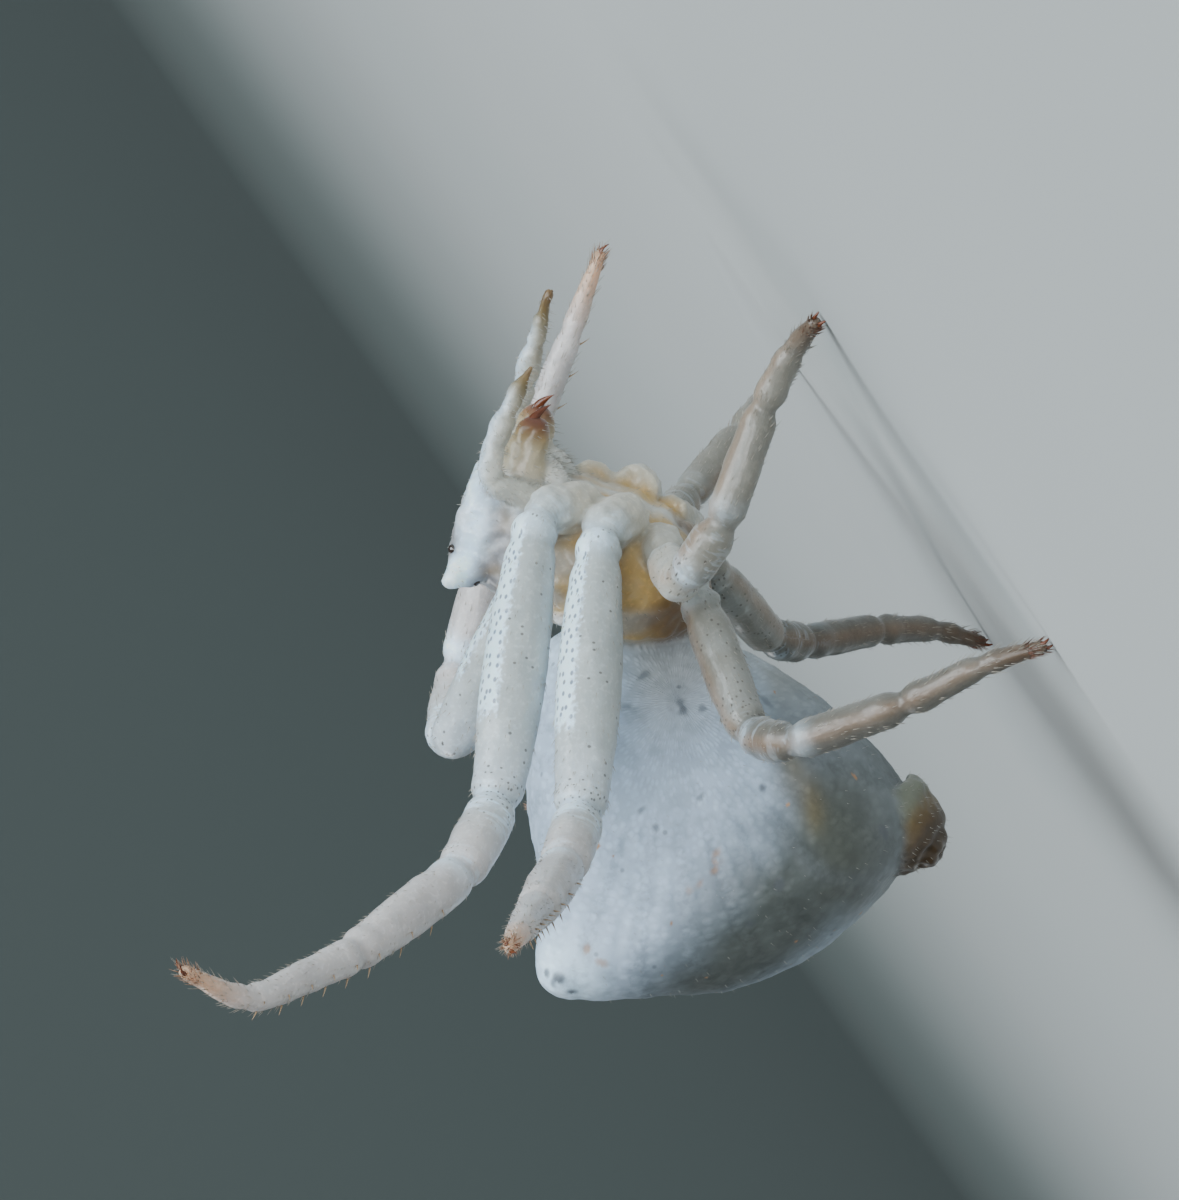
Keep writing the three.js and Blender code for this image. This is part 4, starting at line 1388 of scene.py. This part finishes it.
def on_leg(name, row, walked, angle, lengths, width, kind):
    """Bristles of one kind on one leg, with their spots on the bake map."""
    shape = LEGS[name]
    sunk, outward, onward, lean, fall = kind
    i = np.clip(np.searchsorted(shape["walked"], walked), 0, len(shape["line"]) - 1)
    along = shape["along"][i]
    out = shape["across"][i] * np.cos(angle)[:, None] + shape["up"][i] * np.sin(angle)[:, None]
    roots = shape["line"][i] + out * (shape["radius"][i] - sunk)[:, None] + SHIFT
    ways = out * outward + along * onward + np.array([0, 0, -fall])
    spots = bake_spot(row, walked / shape["walked"][-1], angle)
    return roots, ways, along * lean, lengths, np.full(len(walked), width), spots


def leg_hairs(name, row, random):
    """One leg's short fine hairs, longer and denser towards the foot."""
    shape = LEGS[name]
    total = shape["walked"][-1]
    start = shape["edges"][1]
    count = int(LEG_HAIRS_PER_MM * (total - start))
    walked = start + (total - start) * random.random(count) ** 0.8
    angle = random.uniform(-np.pi, np.pi, count)
    foot = smooth_step(shape["edges"][4], total, walked)
    lengths = (LEG_HAIR_LENGTH + FOOT_HAIR_GAIN * foot) * random.uniform(0.6, 1.4, count)
    return on_leg(name, row, walked, angle, lengths, LEG_HAIR_WIDTH, LEG_HAIR_KIND)


def leg_tuft(name, row, random):
    """The dense brush under one leg's claws."""
    walked = LEGS[name]["walked"][-1] - 0.02 - TUFT_REACH * random.random(TUFT_HAIRS)
    angle = random.uniform(-np.pi, np.pi, TUFT_HAIRS)
    lengths = TUFT_LENGTH * random.uniform(0.6, 1.2, TUFT_HAIRS)
    return on_leg(name, row, walked, angle, lengths, TUFT_WIDTH, TUFT_KIND)


def leg_spines(name, row):
    """Pairs of stout spines under one front leg's shin and foot, pointing on and down."""
    _, _, _, shin, foot, _ = LEGS[name]["edges"]
    spans = [[shin + 0.9, foot - 0.25], [foot + 0.25, LEGS[name]["stops"][5] - 0.15]]
    walked = np.concatenate([np.linspace(*span, count) for span, count in zip(spans, SPINE_PAIRS)])
    walked = np.repeat(walked, 2)
    angle = math.pi + np.tile([-0.5, 0.5], len(walked) // 2)
    return on_leg(name, row, walked, angle, np.full(len(walked), SPINE_LENGTH), SPINE_WIDTH, SPINE_KIND)


def body_hairs(surface, part, row, count, length, width, random):
    """Short hairs that lean back, scattered over one part of the body."""
    here = np.flatnonzero(np.char.startswith(surface["names"], part))
    picked = random.choice(here, min(count, len(here)), replace=False)
    roots = surface["places"][picked]
    out = surface["out"][picked]
    local = to_abdomen(roots - SHIFT)
    share = (local[:, 1] + 5.0) / 10.5
    angle = np.arctan2(local[:, 0], local[:, 2])
    lengths = length * random.uniform(0.6, 1.4, len(picked))
    ways = out * 0.8 + np.array([0, 0.45, -0.15]) + random.normal(0, 0.12, (len(picked), 3))
    lean = np.tile([0, 0.15, -0.15], (len(picked), 1))
    return roots - out * 0.012, ways, lean, lengths, np.full(len(picked), width), bake_spot(row, share, angle)


def build_hairs(surface):
    """All the hairs and spines, in one piece for each kind and colour."""
    random = np.random.default_rng(7)
    rows = {name: row for row, name in enumerate(LEGS)}
    fine = [leg_hairs(name, row, random) for name, row in rows.items()]
    body = [body_hairs(surface, *kind, random) for kind in BODY_HAIRS]
    front = [leg_tuft(name, row, random) for name, row in rows.items() if name[-1] in "12"]
    rear = [leg_tuft(name, row, random) for name, row in rows.items() if name[-1] in "34"]
    spines = [leg_spines(name, row) for name, row in rows.items() if name[-1] in "12"]
    for name, groups in zip(HAIR_COLOURS, (fine, body, front, rear, spines)):
        make_hair_piece(name, groups, random)


def make_hair_piece(name, groups, random):
    merged = [np.concatenate([group[k] for group in groups]) for k in range(6)]
    high_enough = merged[0][:, 2] > LOWEST_ROOT
    merged = [values[high_enough] for values in merged]
    points, faces, uv = bristles(*merged, random)
    points[:, 2] = np.maximum(points[:, 2], LOWEST_HAIR)
    obj = new_object(name, points, faces)
    layer = obj.data.uv_layers.new(name="OFBake")
    layer.data.foreach_set("uv", uv[corners_of(obj.data)].astype(np.float32).ravel())
    nodes, _ = mottled(name + "_material", 3.0, HAIR_COLOURS[name], Roughness=0.35)
    obj.data.materials.append(nodes.material)
    finish_piece(obj)


# The studio

def build_camera():
    fall = math.radians(CAMERA_FALL)
    ahead = np.array([math.cos(fall), 0, -math.sin(fall)])
    rise = np.array([math.sin(fall), 0, math.cos(fall)])
    side = np.array([0.0, 1, 0])
    right = unit(RIGHT_ALONG_Y * side + RIGHT_ALONG_UP * rise)
    up = np.cross(right, ahead)
    place = CAMERA_AIM + SHIFT - ahead * CAMERA_DISTANCE
    data = bpy.data.cameras.new("camera")
    camera = linked("camera", data)
    columns = np.column_stack([right, up, -ahead, place * MM])
    camera.matrix_world = Matrix([*columns.tolist(), [0, 0, 0, 1]])
    data.sensor_fit = "AUTO"
    data.sensor_width = SENSOR_HEIGHT
    data.lens = SENSOR_HEIGHT * CAMERA_DISTANCE * PIXELS_PER_MM / PICTURE_HEIGHT
    data.clip_start = 0.001
    data.clip_end = 10.0
    bpy.context.scene.camera = camera


def build_stage():
    """A pale floor that curves up into a round wall, far enough off to leave room for every view."""
    angle = np.linspace(0, math.pi / 2, 16)
    flat = [1.0, 40.0, 150.0]
    reach = np.concatenate([flat, FLOOR_REACH + FLOOR_BEND * np.sin(angle), [FLOOR_REACH + FLOOR_BEND]])
    rise = np.concatenate([[0.0] * len(flat), FLOOR_BEND * (1 - np.cos(angle)), [WALL_TOP]])
    round_angle = ring_angles(WALL_SIDES)
    across, along = reach[:, None] * np.cos(round_angle), reach[:, None] * np.sin(round_angle)
    rings = np.stack([across, along, np.broadcast_to(rise[:, None], across.shape)], -1)
    faces = [list(range(WALL_SIDES))]
    for i in range(len(reach) - 1):
        for j in range(WALL_SIDES):
            near = [i * WALL_SIDES + j, i * WALL_SIDES + (j + 1) % WALL_SIDES]
            faces.append([near[0], near[0] + WALL_SIDES, near[1] + WALL_SIDES, near[1]])
    floor = new_object("floor", rings.reshape(-1, 3) * MM, faces)
    shade_smooth(floor.data)
    nodes = Nodes("floor_paper")
    place = nodes.place()
    paper = nodes.mix(nodes.noise(place, 0.02, 2.0), *[rgba(colour) for colour in PAPER_COLOURS])
    away = nodes.add("VectorMath", {0: place}, operation="LENGTH").outputs["Value"]
    colour = nodes.mix(nodes.ramp(away, 0.0, PAPER_FADE), paper, rgba(FAR_PAPER))
    nodes.surface(Base_Color=colour, Roughness=0.9)
    floor.data.materials.append(nodes.material)


def add_light(name, kind, strength, colour, way):
    """A light that shines from the way that the vector points in, as seen from the spider."""
    data = bpy.data.lights.new(name, kind)
    data.energy = strength
    data.color = colour
    light = linked(name, data)
    light.rotation_euler = way.to_track_quat("Z", "Y").to_euler()
    return light


def build_lights():
    for name, way, distance, (wide, high), watts, colour in LAMPS:
        towards = Vector(way).normalized()
        lamp = add_light(name, "AREA", watts, colour, towards)
        lamp.data.shape = "ELLIPSE"
        lamp.data.size = wide * MM
        lamp.data.size_y = high * MM
        lamp.location = (towards * distance + Vector((0, 0, LIGHTS_HEIGHT))) * MM
        lamp.visible_camera = False
    rim = add_light("rim", "SUN", RIM_STRENGTH, RIM_COLOUR, Vector(RIM_WAY))
    rim.data.angle = math.radians(RIM_SPREAD)
    world = bpy.data.worlds.new("soft_room")
    world.use_nodes = True
    background = world.node_tree.nodes["Background"]
    background.inputs["Color"].default_value = ROOM_COLOUR
    background.inputs["Strength"].default_value = ROOM_STRENGTH
    bpy.context.scene.world = world


def solids_shift():
    """How far the solids were moved to centre them, from the abdomen's far corner."""
    reached = abdomen_rings(ABDOMEN_SOLID_RINGS, ABDOMEN_SOLID_SIDES).reshape(-1, 3).max(0)
    found = np.array(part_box("abdomen")[1]) / MM
    return np.array([found[0] - reached[0], found[1] - reached[1], 0.0])


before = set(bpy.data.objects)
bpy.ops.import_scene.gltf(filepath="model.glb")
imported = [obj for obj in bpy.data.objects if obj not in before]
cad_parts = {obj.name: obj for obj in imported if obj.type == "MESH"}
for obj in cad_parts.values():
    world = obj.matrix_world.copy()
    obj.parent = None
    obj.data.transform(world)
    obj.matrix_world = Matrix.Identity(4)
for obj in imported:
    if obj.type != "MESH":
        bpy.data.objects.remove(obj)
SHIFT = solids_shift()
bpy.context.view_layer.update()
build_camera()
skin_surface = build_skin()
build_eyes()
horn = claw_material()
build_fangs(horn)
build_claws(horn)
build_hairs(skin_surface)
build_stage()
build_lights()
